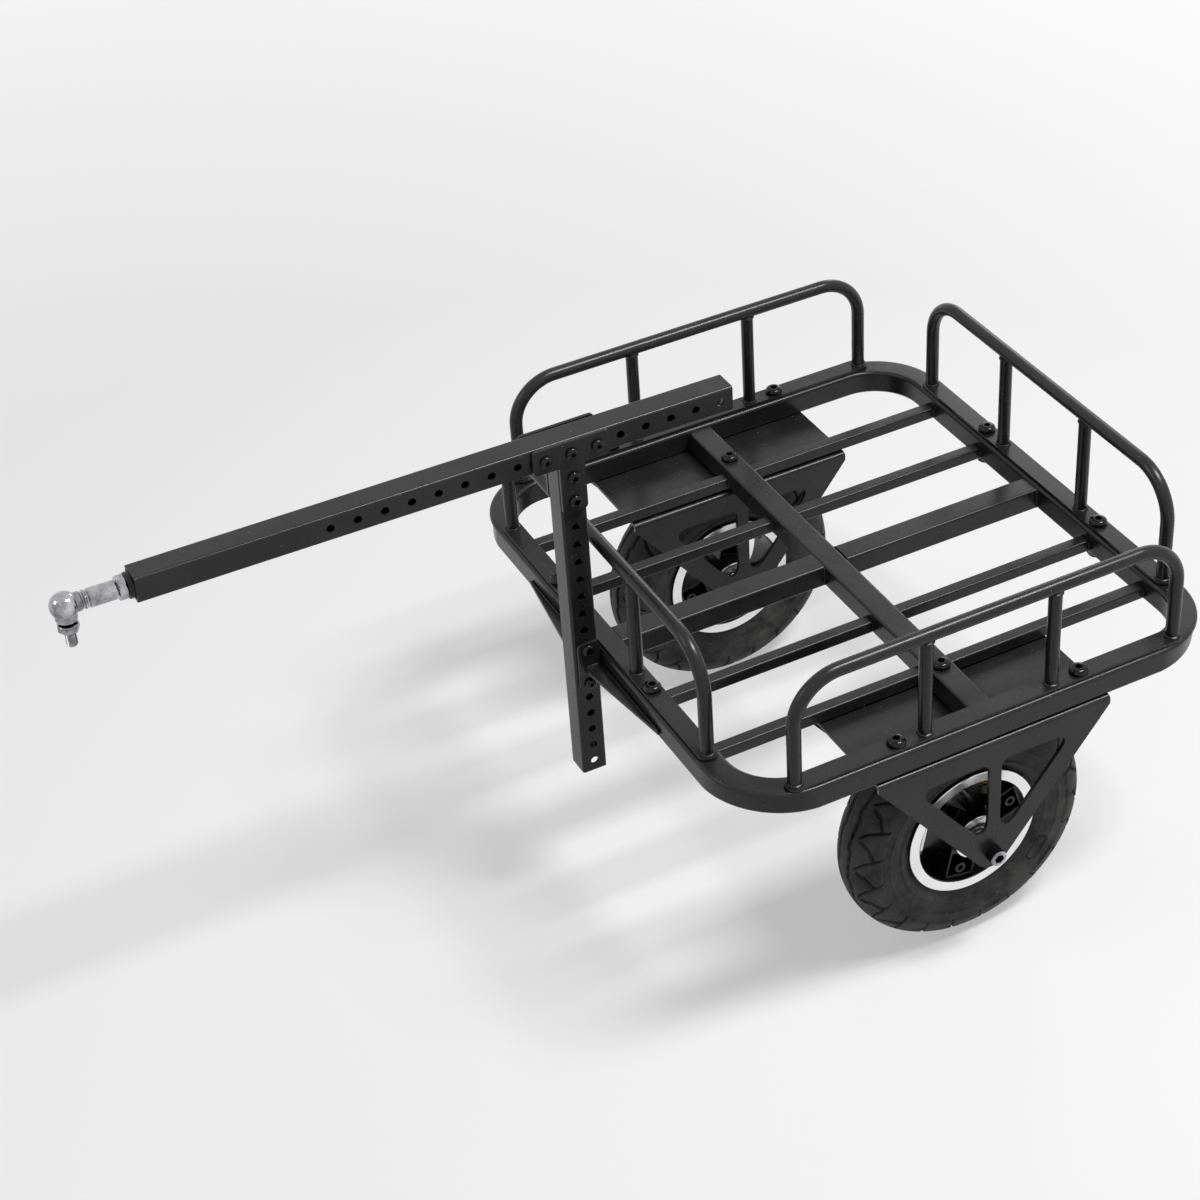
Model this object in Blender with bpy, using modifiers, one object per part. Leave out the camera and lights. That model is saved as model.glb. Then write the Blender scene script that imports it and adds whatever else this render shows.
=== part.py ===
"""Two-wheeled cargo trailer that is towed behind a kick scooter on a ball joint.

Metres, +Z up. The drawbar points along -Y and the vehicle's left side is +X. Every
piece is placed from the deck's datum: the middle of the deck, level with the top of
the bent tube round its edge. The datum stands over the frame's origin so that the
origin is the bottom centre of the whole trailer.
"""

import math

import bmesh
import bpy
from mathutils import Euler, Matrix, Vector

# Deck: a square tube bent to a ring, with bars across it
DECK_WIDTH = 0.455
DECK_LENGTH = 0.408
TUBE = 0.020
TUBE_WALL = 0.0015
TUBE_EDGE = 0.003
CORNER_RADIUS = 0.060
CORNER_SAG = 0.0025
FIT_GAP = 0.0003

BEAM_WIDTH = 0.020
BEAM_DROP = 0.0017
BEAM_EDGE = 0.0012
SLAT = 0.010
SLAT_BOTTOM = 0.0185
SLAT_WALL = 0.0012
WIDE_SLAT = 0.020
OUTER_SLAT_INSET = 0.0625
INNER_SLAT_SHARE = 0.516

# Rails: a bent round tube with two posts, welded to a flat strip
RAIL_SPAN = 0.317
RAIL_HEIGHT = 0.0882
RAIL_TUBE = 0.0105
RAIL_BEND = 0.036
RAIL_POST_SPACING = 0.1058
STRIP_WIDTH = 0.015
STRIP_THICKNESS = 0.0024
RAIL_BOLT_SPACING = 0.1528

# Screws with their nuts
M8_RADIUS = 0.004
M8_HEAD_RADIUS = 0.007
M8_HEAD_HEIGHT = 0.0044
M8_NUT_WIDTH = 0.013
M8_NUT_HEIGHT = 0.0055
M5_RADIUS = 0.0025
M5_HEAD_RADIUS = 0.00475
M5_HEAD_HEIGHT = 0.0028
M5_NUT_WIDTH = 0.008
M5_NUT_HEIGHT = 0.004
HOLE_CLEARANCE = 0.0003
BEAM_BOLT_INSET = 0.0025

# Wheel brackets: bent sheet over each wheel
BRACKET_SHEET = 0.003
BRACKET_WIDTH = 0.092
BRACKET_LENGTH = 0.195
BRACKET_OVERHANG = 0.002
BRACKET_BEND = 0.0035
BRACKET_SKIRT = 0.007
TIP_RADIUS = 0.014
WINDOW_TOP_MARGIN = 0.0202
WINDOW_BAR = 0.0104
WINDOW_ARM = 0.0164
WINDOW_FILLET = 0.0065

# Wheels
AXLE_DROP = 0.127
TYRE_RADIUS = 0.100
TYRE_WIDTH = 0.049
TYRE_WALL = 0.005
BEAD_RADIUS = 0.0508
RIM_WIDTH = 0.0394
RIM_LIP = 0.0027
FLANGE_RADIUS = 0.0545
BARREL_RADIUS = 0.0455
HUB_RADIUS = 0.019
HUB_LENGTH = 0.053
BEARING_RADIUS = 0.014
BEARING_WIDTH = 0.008
BEARING_INSET = 0.001
BEARING_SHOULDER = 0.003
SPOKE_WIDTH = 0.025
SPOKE_DEPTH = 0.0328
SPOKE_RIB = 0.003
SPOKE_FLOOR = 0.010
BOSS_CIRCLE = 0.0365
BOSS_RADIUS = 0.0046
BOSS_HOLE = 0.0024
LEFT_SPOKE_ANGLE = math.radians(18)
RIGHT_SPOKE_ANGLE = math.radians(75)
SLEEVE_RADIUS = 0.0057
SPACER_RADIUS = 0.008
AXLE_HEAD_RADIUS = 0.0065
AXLE_HEAD_HEIGHT = 0.0085
AXLE_SOCKET = 0.006

# Upright post with its row of holes
POST_BOTTOM = 0.114
POST_HOLE_PITCH = 0.01556
POST_HOLES = 15
POST_END_MARGIN = 0.0091
POST_BOLT_ROWS = (5, 7)

# Plates that join the post to the deck
FOOT_SHEET = 0.003
FOOT_LENGTH = 0.018
FOOT_TOP = 0.010
FOOT_BOTTOM = 0.033
FOOT_CORNER = 0.004
GUSSET_REACH = 0.095
GUSSET_DEPTH = 0.014
GUSSET_TOP = 0.012

# Plates that join the post to the drawbar
TEE_SHEET = 0.003
TEE_ARM = 0.060
TEE_STEM = 0.0393
TEE_CORNER = 0.0035
TEE_PITCH = 0.020

# Drawbar and ball joint
DRAWBAR_HEIGHT = 0.1783
DRAWBAR_FRONT = 0.318
DRAWBAR_REAR = 0.130
DRAWBAR_HOLES = 16
DRAWBAR_HOLE_REAR = 0.120
NOSE_UP = math.radians(0.6)
SOCKET_RADIUS = 0.010
SHANK_RADIUS = 0.0068
SHANK_FLAT = 0.0058
SHANK_FLAT_LENGTH = 0.010
SHANK_END = 0.0355
SKIRT_RADIUS = 0.0078
SKIRT_DEPTH = 0.0105
SKIRT_FLARE = 0.001
BALL_RADIUS = 0.005
NECK_RADIUS = 0.0022
COLLAR_TOP = 0.0034
COLLAR_DEPTH = 0.0016
COLLAR_WALL = 0.00065
STUD_FLANGE_RADIUS = 0.0072
STUD_FLANGE_TOP = 0.0136
STUD_FLANGE = 0.0016
STUD_HEX = 0.013
STUD_HEX_HEIGHT = 0.004
STUD_RADIUS = 0.004
STUD_LENGTH = 0.032
ROD_RADIUS = 0.005
ROD_END = 0.0124
JAM_NUT_WIDTH = 0.017
JAM_NUT_THICKNESS = 0.0055
JAM_NUT_GAP = 0.0006
SHANK_GAP = 0.0008
PLUG_RADIUS = 0.0095
PLUG_LIP = 0.0035
PLUG_DEPTH = 0.012

# Facets
RING_SIDES = 12
HUB_SIDES = 16
WHEEL_SIDES = 32
RIM_SIDES = 24
HOLE_SIDES = 8
BOLT_HOLE_SIDES = 6
BEND_STEPS = 5
FILLET_STEPS = 2

# Places that follow from the sizes above
DECK_TOP = 0.0
TUBE_BOTTOM = -TUBE
SIDE_TUBE_X = DECK_WIDTH / 2 - TUBE / 2
END_TUBE_Y = DECK_LENGTH / 2 - TUBE / 2
INNER_HALF_WIDTH = DECK_WIDTH / 2 - TUBE
INNER_HALF_LENGTH = DECK_LENGTH / 2 - TUBE
OUTER_SLAT_X = INNER_HALF_WIDTH - OUTER_SLAT_INSET
INNER_SLAT_X = OUTER_SLAT_X * INNER_SLAT_SHARE
BRACKET_TOP = TUBE_BOTTOM - FIT_GAP
BRACKET_OUTER_X = DECK_WIDTH / 2 + BRACKET_OVERHANG
WHEEL_X = BRACKET_OUTER_X - BRACKET_WIDTH / 2
BEAM_BOLT_X = WHEEL_X - TYRE_WIDTH / 2 - BEAM_BOLT_INSET
POST_Y = -(DECK_LENGTH / 2 + FIT_GAP + TUBE / 2)
POST_TOP = DRAWBAR_HEIGHT - TUBE / 2 - 2 * FIT_GAP
POST_FIRST_HOLE = -POST_BOTTOM + POST_END_MARGIN
PLATE_X = TUBE / 2 + FIT_GAP
PLUG_FACE = DRAWBAR_FRONT + FIT_GAP
JAM_NUT_START = PLUG_FACE + PLUG_LIP + JAM_NUT_GAP
BALL_REACH = JAM_NUT_START + JAM_NUT_THICKNESS + SHANK_GAP + SHANK_END
ROD_LENGTH = BALL_REACH - ROD_END - PLUG_FACE - PLUG_LIP
BALL_Y = POST_Y - BALL_REACH * math.cos(NOSE_UP)
BALL_Z = DRAWBAR_HEIGHT + BALL_REACH * math.sin(NOSE_UP)
SOCKET_BORE = BALL_RADIUS + FIT_GAP
FRONT_END = BALL_Y - SOCKET_RADIUS
DATUM_Y = -(FRONT_END + DECK_LENGTH / 2) / 2
DATUM_Z = AXLE_DROP + TYRE_RADIUS

# Turns that lay a piece's local Z along a world axis
ALONG_X = (0, math.pi / 2, 0)
ALONG_Y = (-math.pi / 2, 0, 0)
UPRIGHT = (0, 0, 0)
# Turn that stands a flat outline in the trailer's side view: its u along +Y, its v along +Z
SIDE_VIEW = (math.pi / 2, 0, math.pi / 2)


def clear_scene():
    for obj in list(bpy.data.objects):
        bpy.data.objects.remove(obj)


def new_collection(name):
    collection = bpy.data.collections.new(name)
    bpy.context.scene.collection.children.link(collection)
    return collection


def empty(name, location, rotation=UPRIGHT, parent=None):
    obj = bpy.data.objects.new(name, None)
    obj.empty_display_size = 0.05
    obj.location = location
    obj.rotation_euler = rotation
    obj.parent = parent
    parts.objects.link(obj)
    return obj


def material(name, colour, roughness, metallic):
    mat = bpy.data.materials.new(name)
    mat.use_nodes = True
    shader = mat.node_tree.nodes["Principled BSDF"]
    shader.inputs["Base Color"].default_value = (*colour, 1)
    shader.inputs["Roughness"].default_value = roughness
    shader.inputs["Metallic"].default_value = metallic
    mat.diffuse_color = (*colour, 1)
    return mat


def place(name, data, location=(0, 0, 0), rotation=UPRIGHT, parent=None, look=None):
    """A finished piece, which becomes a part of its own."""
    obj = bpy.data.objects.new(name, data)
    obj.location = location
    obj.rotation_euler = rotation
    obj.parent = parent or datum
    if look:
        data.materials.clear()
        data.materials.append(look)
    parts.objects.link(obj)
    return obj


def cutter(name, data, location=(0, 0, 0), rotation=UPRIGHT, parent=None):
    obj = bpy.data.objects.new(name, data)
    obj.location = location
    obj.rotation_euler = rotation
    obj.parent = parent or datum
    obj.hide_render = True
    obj.display_type = "WIRE"
    cutters.objects.link(obj)
    return obj


def combine(obj, other, operation):
    modifier = obj.modifiers.new(other.name, "BOOLEAN")
    modifier.object = other
    modifier.operation = operation
    modifier.solver = "EXACT"


def mesh_from(name, bm):
    bmesh.ops.recalc_face_normals(bm, faces=bm.faces)
    mesh = bpy.data.meshes.new(name)
    bm.to_mesh(mesh)
    bm.free()
    return mesh


def rounded(mesh, degrees=35):
    """Shades a round piece smooth, up to its real edges."""
    mesh.shade_smooth()
    mesh.set_sharp_from_angle(angle=math.radians(degrees))
    return mesh


def curve_to_mesh(curve):
    """The curve as a closed mesh, so that it can be cut and joined."""
    carrier = bpy.data.objects.new(curve.name, curve)
    bpy.context.scene.collection.objects.link(carrier)
    graph = bpy.context.evaluated_depsgraph_get()
    mesh = bpy.data.meshes.new_from_object(carrier.evaluated_get(graph))
    mesh.name = curve.name
    bpy.data.objects.remove(carrier)
    bm = bmesh.new()
    bm.from_mesh(mesh)
    bmesh.ops.remove_doubles(bm, verts=bm.verts, dist=1e-6)
    bmesh.ops.recalc_face_normals(bm, faces=bm.faces)
    bm.to_mesh(mesh)
    bm.free()
    return mesh


def plate(name, outlines, thickness):
    """A flat plate in the XY plane. The first outline is its edge, the others are holes."""
    curve = bpy.data.curves.new(name, "CURVE")
    curve.dimensions = "2D"
    curve.fill_mode = "BOTH"
    curve.extrude = thickness / 2
    for outline in outlines:
        spline = curve.splines.new("POLY")
        spline.points.add(len(outline) - 1)
        for point, (u, v) in zip(spline.points, outline):
            point.co = (u, v, 0, 1)
        spline.use_cyclic_u = True
    return curve_to_mesh(curve)


def round_bar(name, route, radius):
    """A round rod or tube along a route of points, with closed ends."""
    curve = bpy.data.curves.new(name, "CURVE")
    curve.dimensions = "3D"
    curve.bevel_depth = radius
    curve.bevel_resolution = 2
    curve.use_fill_caps = True
    spline = curve.splines.new("POLY")
    spline.points.add(len(route) - 1)
    for point, place_of_point in zip(spline.points, route):
        point.co = (*place_of_point, 1)
    return curve_to_mesh(curve)


def section_mesh(name, profile):
    """Points and edges of a closed section, (radius, height), for a Screw about Z."""
    mesh = bpy.data.meshes.new(name)
    count = len(profile)
    edges = [(i, (i + 1) % count) for i in range(count)]
    mesh.from_pydata([(radius, 0, height) for radius, height in profile], edges, [])
    return mesh


def spin(obj, sides):
    """Turns a section about the object's own Z."""
    modifier = obj.modifiers.new("turn", "SCREW")
    modifier.steps = sides
    modifier.render_steps = sides
    modifier.use_merge_vertices = True
    modifier.merge_threshold = 0.00001
    return obj


def arc(centre, radius, start, end, steps):
    """Points on an arc in the plane, from one angle in degrees to another."""
    points = []
    for i in range(steps + 1):
        angle = math.radians(start + (end - start) * i / steps)
        points.append((centre[0] + radius * math.cos(angle), centre[1] + radius * math.sin(angle)))
    return points


def circle(radius, sides=HOLE_SIDES, centre=(0, 0)):
    return arc(centre, radius, 0, 360 * (sides - 1) / sides, sides - 1)


def filleted(corners, radii, steps=FILLET_STEPS):
    """The outline through these corners, each rounded to its radius."""
    outline = []
    for i, corner in enumerate(corners):
        here = Vector(corner)
        before = (Vector(corners[i - 1]) - here).normalized()
        after = (Vector(corners[(i + 1) % len(corners)]) - here).normalized()
        radius = radii[i]
        if radius == 0:
            outline.append(tuple(here))
            continue
        half = before.angle(after) / 2
        centre = here + (before + after).normalized() * (radius / math.sin(half))
        first = here + before * (radius / math.tan(half)) - centre
        last = here + after * (radius / math.tan(half)) - centre
        sweep = first.angle_signed(last)
        for k in range(steps + 1):
            turn = Matrix.Rotation(-sweep * k / steps, 2)
            outline.append(tuple(centre + turn @ first))
    return outline


def rectangle(width, height, radius=0.0, steps=1):
    w, h = width / 2, height / 2
    return filleted([(-w, -h), (w, -h), (w, h), (-w, h)], [radius] * 4, steps)


def ring_of(section, count=RING_SIDES):
    """One ring of a turned or six-sided shape: section is (height, radius, is_hexagon).

    A hexagon's radius is measured to its flats.
    """
    height, radius, is_hexagon = section
    points = []
    for i in range(count):
        angle = 2 * math.pi * i / count
        reach = radius
        if is_hexagon:
            off_flat = (angle + math.pi / 6) % (math.pi / 3) - math.pi / 6
            reach = radius / math.cos(off_flat)
        points.append((reach * math.cos(angle), reach * math.sin(angle), height))
    return points


def lofted(name, rings, closed=False):
    """Skins a row of rings: closed at both ends, or joined last to first."""
    bm = bmesh.new()
    rows = [[bm.verts.new(point) for point in ring] for ring in rings]
    pairs = list(zip(rows, rows[1:]))
    if closed:
        pairs.append((rows[-1], rows[0]))
    count = len(rows[0])
    for a, b in pairs:
        for i in range(count):
            j = (i + 1) % count
            bm.faces.new((a[i], a[j], b[j], b[i]))
    if not closed:
        bm.faces.new(rows[0])
        bm.faces.new(rows[-1])
    return mesh_from(name, bm)


def cylinders(name, radius, length, places, rotation=UPRIGHT, sides=BOLT_HOLE_SIDES):
    """A cylinder on each of these places, in one mesh. The radius is to its flats."""
    bm = bmesh.new()
    turn = Euler(rotation).to_matrix().to_4x4()
    corner_radius = radius / math.cos(math.pi / sides)
    for spot in places:
        bmesh.ops.create_cone(
            bm,
            cap_ends=True,
            segments=sides,
            radius1=corner_radius,
            radius2=corner_radius,
            depth=length,
            matrix=Matrix.Translation(spot) @ turn,
        )
    return mesh_from(name, bm)


def screw_mesh(name, head_rings, shank, grip, nut_width, nut_height):
    """A screw and its nut: the head stands on z = 0, the shank runs down to the nut."""
    rings = [
        *head_rings,
        (0, shank, False),
        (-grip, shank, False),
        (-grip, nut_width / 2, True),
        (-grip - nut_height, nut_width / 2, True),
    ]
    return rounded(lofted(name, [ring_of(ring) for ring in rings]))


def m8_screw(name, grip):
    """A button head: it narrows to a flat top."""
    head_rings = [(M8_HEAD_HEIGHT, M8_HEAD_RADIUS * 0.7, False), (0, M8_HEAD_RADIUS, False)]
    return screw_mesh(name, head_rings, M8_RADIUS, grip, M8_NUT_WIDTH, M8_NUT_HEIGHT)


def m5_screw(name, grip):
    head_rings = [(M5_HEAD_HEIGHT, M5_HEAD_RADIUS * 0.75, False), (0, M5_HEAD_RADIUS, False)]
    return screw_mesh(name, head_rings, M5_RADIUS, grip, M5_NUT_WIDTH, M5_NUT_HEIGHT)


def axle_screw(name, grip):
    """A cap head with a hexagon socket."""
    bevel = AXLE_HEAD_RADIUS * 0.08
    head_rings = [
        (AXLE_HEAD_HEIGHT / 2, AXLE_SOCKET / 2, True),
        (AXLE_HEAD_HEIGHT, AXLE_SOCKET / 2, True),
        (AXLE_HEAD_HEIGHT, AXLE_HEAD_RADIUS - bevel, False),
        (AXLE_HEAD_HEIGHT - bevel, AXLE_HEAD_RADIUS, False),
        (0, AXLE_HEAD_RADIUS, False),
    ]
    return screw_mesh(name, head_rings, M8_RADIUS, grip, M8_NUT_WIDTH, M8_NUT_HEIGHT)


def square_tube(name, width, height, wall, edge, length):
    """A straight square tube along local Z, open at both ends."""
    outer = rectangle(width, height, edge)
    inner = rectangle(width - 2 * wall, height - 2 * wall)
    return plate(name, [outer, inner], length)


def deck_ring(name, inset, edge):
    """The tube round the deck, or the hollow inside it where inset is its wall.

    Its section is swept round the four bends. There the outer wall below the top lip is
    drawn in, as it is on a bent square tube.
    """
    top, bottom = DECK_TOP - inset, TUBE_BOTTOM + inset
    near, far = inset, TUBE - inset
    if edge:
        low, high, back = bottom + edge, top - edge, far - edge
        section = [(near + edge - x, high + z, False) for x, z in arc((0, 0), edge, 90, 0, 2)]
        section.append((near, high - edge * 0.15, True))
        section += [(near + edge - x, low - z, True) for x, z in arc((0, 0), edge, 0, 90, 2)]
        section += [(back + x, low - z, False) for x, z in arc((0, 0), edge, 90, 0, 2)]
        section += [(back + x, high + z, False) for x, z in arc((0, 0), edge, 0, 90, 2)]
    else:
        section = [(near, top, True), (near, bottom, True), (far, bottom, False), (far, top, False)]
    rings = []
    for quarter in range(4):
        side_x = 1 if quarter in (0, 3) else -1
        side_y = 1 if quarter in (0, 1) else -1
        centre_x = side_x * (DECK_WIDTH / 2 - CORNER_RADIUS)
        centre_y = side_y * (DECK_LENGTH / 2 - CORNER_RADIUS)
        for step in range(BEND_STEPS + 1):
            share = step / BEND_STEPS
            angle = (quarter + share) * math.pi / 2
            drawn_in = CORNER_SAG * math.sin(math.pi * share)
            ring = []
            for depth, height, sags in section:
                reach = CORNER_RADIUS - depth - (drawn_in if sags else 0)
                ring.append((centre_x + reach * math.cos(angle), centre_y + reach * math.sin(angle), height))
            rings.append(ring)
    return lofted(name, rings, closed=True)


def make_deck():
    deck = place("deck_frame", rounded(deck_ring("deck_frame", 0, TUBE_EDGE)), look=powder_coat)
    hollow = cutter("deck_hollow", deck_ring("deck_hollow", TUBE_WALL, 0))
    combine(deck, hollow, "DIFFERENCE")
    combine(deck, rail_bolt_holes, "DIFFERENCE")

    beam_height = TUBE - BEAM_DROP
    beam_z = TUBE_BOTTOM + beam_height / 2
    beam_length = 2 * (INNER_HALF_WIDTH - FIT_GAP)
    beam_mesh = square_tube("cross_beam", beam_height, BEAM_WIDTH, TUBE_WALL, BEAM_EDGE, beam_length)
    beam = place("cross_beam", beam_mesh, (0, 0, beam_z), ALONG_X, look=powder_coat)
    combine(beam, beam_bolt_holes, "DIFFERENCE")

    half_length = INNER_HALF_LENGTH - BEAM_WIDTH / 2 - 2 * FIT_GAP
    middle_y = (INNER_HALF_LENGTH + BEAM_WIDTH / 2) / 2
    thin = square_tube("thin_slat", SLAT, SLAT, SLAT_WALL, BEAM_EDGE, half_length)
    wide = square_tube("wide_slat", WIDE_SLAT, beam_height, TUBE_WALL, BEAM_EDGE, half_length)
    places = {
        "left_outer": (OUTER_SLAT_X, thin),
        "left_inner": (INNER_SLAT_X, thin),
        "middle": (0, wide),
        "right_inner": (-INNER_SLAT_X, thin),
        "right_outer": (-OUTER_SLAT_X, thin),
    }
    for end, side_y in (("front", -1), ("rear", 1)):
        for spot, (x, mesh) in places.items():
            z = beam_z if mesh is wide else -SLAT_BOTTOM + SLAT / 2
            place(f"{end}_slat_{spot}", mesh, (x, side_y * middle_y, z), ALONG_Y, look=powder_coat)


def rail_mesh_parts():
    """The strip, the bent tube and one post, about the rail's middle with u along X."""
    half_strip = RAIL_SPAN / 2
    end = STRIP_WIDTH / 2
    outline = arc((half_strip, 0), end, -90, 90, BEND_STEPS) + arc((-half_strip, 0), end, 90, 270, BEND_STEPS)
    strip = plate("rail_strip", [outline], STRIP_THICKNESS)
    strip.transform(Matrix.Translation((0, 0, FIT_GAP + STRIP_THICKNESS / 2)))

    foot = FIT_GAP + STRIP_THICKNESS / 2
    bend_z = RAIL_HEIGHT - RAIL_BEND
    bend_x = RAIL_SPAN / 2 - RAIL_BEND
    right_bend = arc((bend_x, bend_z), RAIL_BEND, 0, 90, BEND_STEPS)
    left_bend = arc((-bend_x, bend_z), RAIL_BEND, 90, 180, BEND_STEPS)
    route = [(RAIL_SPAN / 2, foot), *right_bend, *left_bend, (-RAIL_SPAN / 2, foot)]
    hoop = round_bar("rail_hoop", [(u, 0, z) for u, z in route], RAIL_TUBE / 2)

    post_x = RAIL_POST_SPACING / 2
    posts = round_bar("rail_post", [(post_x, 0, foot), (post_x, 0, RAIL_HEIGHT)], RAIL_TUBE / 2 * 0.96)
    return strip, hoop, posts


def make_rails():
    strip, hoop, post = rail_mesh_parts()
    places = {
        "left_rail": ((SIDE_TUBE_X, 0, 0), math.pi / 2),
        "right_rail": ((-SIDE_TUBE_X, 0, 0), -math.pi / 2),
        "front_rail": ((0, -END_TUBE_Y, 0), 0),
        "rear_rail": ((0, END_TUBE_Y, 0), math.pi),
    }
    for name, (spot, turn) in places.items():
        rail = place(name, hoop.copy(), spot, (0, 0, turn), look=powder_coat)
        strip_piece = cutter(f"{name}_strip", strip, spot, (0, 0, turn))
        combine(rail, strip_piece, "UNION")
        for side in (-1, 1):
            offset = Matrix.Rotation(turn, 3, "Z") @ Vector((RAIL_POST_SPACING / 2 * (side - 1), 0, 0))
            post_piece = cutter(f"{name}_post_{side + 2}", post, Vector(spot) + offset, (0, 0, turn))
            combine(rail, post_piece, "UNION")
        combine(rail, rail_bolt_holes, "DIFFERENCE")
        rounded(rail.data, 50)


def rail_bolt_places():
    """Each rail's two bolts: name, place and whether a wheel bracket hangs under them."""
    half = RAIL_BOLT_SPACING / 2
    for side, x in (("left", SIDE_TUBE_X), ("right", -SIDE_TUBE_X)):
        yield f"{side}_rail_bolt_front", (x, -half), True
        yield f"{side}_rail_bolt_rear", (x, half), True
    for side, y in (("front", -END_TUBE_Y), ("rear", END_TUBE_Y)):
        yield f"{side}_rail_bolt_left", (half, y), False
        yield f"{side}_rail_bolt_right", (-half, y), False


def make_deck_bolts():
    under_deck = TUBE + FIT_GAP
    under_bracket = under_deck + BRACKET_SHEET + FIT_GAP
    head_z = 2 * FIT_GAP + STRIP_THICKNESS
    short = m8_screw("rail_bolt_short", head_z + under_deck)
    long = m8_screw("rail_bolt_long", head_z + under_bracket)
    for name, (x, y), through_bracket in rail_bolt_places():
        place(name, long if through_bracket else short, (x, y, head_z), look=black_steel)
    beam_head_z = -BEAM_DROP + FIT_GAP
    beam_screw = m8_screw("beam_bolt", beam_head_z + under_bracket)
    for side, x in (("left", BEAM_BOLT_X), ("right", -BEAM_BOLT_X)):
        place(f"{side}_beam_bolt", beam_screw, (x, 0, beam_head_z), look=black_steel)


def bracket_channel():
    """The bent sheet seen from the front: an upside-down U, u along X and v along Z."""
    half = BRACKET_WIDTH / 2
    inner = half - BRACKET_SHEET
    top = BRACKET_TOP
    bottom = -AXLE_DROP - TIP_RADIUS * 2
    sheet_bend = max(BRACKET_BEND - BRACKET_SHEET, 0.0005)
    corners = [
        (-half, bottom),
        (-half, top),
        (half, top),
        (half, bottom),
        (inner, bottom),
        (inner, top - BRACKET_SHEET),
        (-inner, top - BRACKET_SHEET),
        (-inner, bottom),
    ]
    return filleted(corners, [0, BRACKET_BEND, BRACKET_BEND, 0, 0, sheet_bend, sheet_bend, 0])


def bracket_side_view():
    """The bracket's side: a skirt, two arms down to the axle, and two windows."""
    half = BRACKET_LENGTH / 2
    axle = Vector((0, -AXLE_DROP))
    shoulder = Vector((half, BRACKET_TOP - BRACKET_SKIRT))
    towards = shoulder - axle
    lean = math.atan2(towards.y, towards.x) + math.asin(TIP_RADIUS / towards.length)
    tip_start = math.degrees(lean) - 90
    tip = arc(axle, TIP_RADIUS, tip_start, -180 - tip_start, RING_SIDES // 2)
    above = BRACKET_TOP + BRACKET_SHEET
    outline = [(-half, above), tuple((-shoulder.x, shoulder.y)), *reversed(tip), tuple(shoulder), (half, above)]

    # A window lies WINDOW_ARM inside the arm's outer edge and half a bar from the middle.
    edge_normal = Vector((math.sin(lean), -math.cos(lean)))
    inner_offset = TIP_RADIUS - WINDOW_ARM
    bar_x = WINDOW_BAR / 2
    window_top = -WINDOW_TOP_MARGIN - TUBE
    low_z = axle.y + (edge_normal.x * bar_x - inner_offset) / -edge_normal.y
    far_x = (inner_offset - edge_normal.y * (window_top - axle.y)) / edge_normal.x
    window = [(bar_x, window_top), (bar_x, low_z), (far_x, window_top)]
    right = filleted(window, [WINDOW_FILLET] * 3)
    left = [(-u, v) for u, v in reversed(right)]
    hole_radius = (M8_RADIUS + HOLE_CLEARANCE) / math.cos(math.pi / RING_SIDES)
    axle_hole = circle(hole_radius, RING_SIDES, axle)
    return outline, right, left, axle_hole


def make_wheel_brackets():
    channel = plate("bracket_channel", [bracket_channel()], BRACKET_LENGTH * 1.1)
    outline, right, left, axle_hole = bracket_side_view()
    side_view = plate("bracket_side_view", [outline, right, left, axle_hole], BRACKET_WIDTH * 1.2)
    for side, x in (("left", WHEEL_X), ("right", -WHEEL_X)):
        # The channel's outline stands up, so that it is extruded along the trailer.
        bracket = place(
            f"{side}_wheel_bracket", channel.copy(), (x, 0, 0), (math.pi / 2, 0, 0), look=powder_coat
        )
        keep = cutter(f"{side}_bracket_outline", side_view, (x, 0, 0), SIDE_VIEW)
        combine(bracket, keep, "INTERSECT")
        combine(bracket, rail_bolt_holes, "DIFFERENCE")
        combine(bracket, beam_bolt_holes, "DIFFERENCE")


def tyre_section():
    """The tyre's section, clockwise from one bead over the tread and back inside."""
    middle = TYRE_RADIUS - TYRE_WIDTH / 2
    outer, inner = [], []
    for degrees in range(120, -121, -30):
        angle = math.radians(degrees)
        squareness = (abs(math.cos(angle)) ** 2.6 + abs(math.sin(angle)) ** 2.6) ** (-1 / 2.6)
        reach = TYRE_WIDTH / 2 * squareness
        outer.append((middle + reach * math.cos(angle), reach * math.sin(angle)))
    for degrees in (-100, 0, 100):
        angle = math.radians(degrees)
        reach = TYRE_WIDTH / 2 - TYRE_WALL
        inner.append((middle + reach * math.cos(angle), reach * math.sin(angle)))
    seat = RIM_WIDTH / 2 - RIM_LIP - FIT_GAP
    bead = BEAD_RADIUS + 2 * FIT_GAP
    heel = FLANGE_RADIUS + 2 * FIT_GAP
    toe = seat - TYRE_WALL
    low_bead = [(heel, -seat), (bead, -seat), (bead, -toe)]
    high_bead = [(bead, toe), (bead, seat), (heel, seat)]
    return [*outer, *low_bead, *inner, *high_bead]


def rim_sections():
    """The barrel and the hub, each clockwise: (radius, width)."""
    half = RIM_WIDTH / 2
    lip = half - RIM_LIP
    barrel = [
        (FLANGE_RADIUS, half),
        (FLANGE_RADIUS, lip),
        (BEAD_RADIUS, lip),
        (BEAD_RADIUS, -lip),
        (FLANGE_RADIUS, -lip),
        (FLANGE_RADIUS, -half),
        (BARREL_RADIUS, -half),
        (BARREL_RADIUS, half),
    ]
    end = HUB_LENGTH / 2
    pocket = end - BEARING_WIDTH - BEARING_INSET - FIT_GAP
    seat = BEARING_RADIUS + FIT_GAP
    core = BEARING_RADIUS - BEARING_SHOULDER
    hub = [
        (HUB_RADIUS, end),
        (HUB_RADIUS, -end),
        (seat, -end),
        (seat, -pocket),
        (core, -pocket),
        (core, pocket),
        (seat, pocket),
        (seat, end),
    ]
    return barrel, hub


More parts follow.
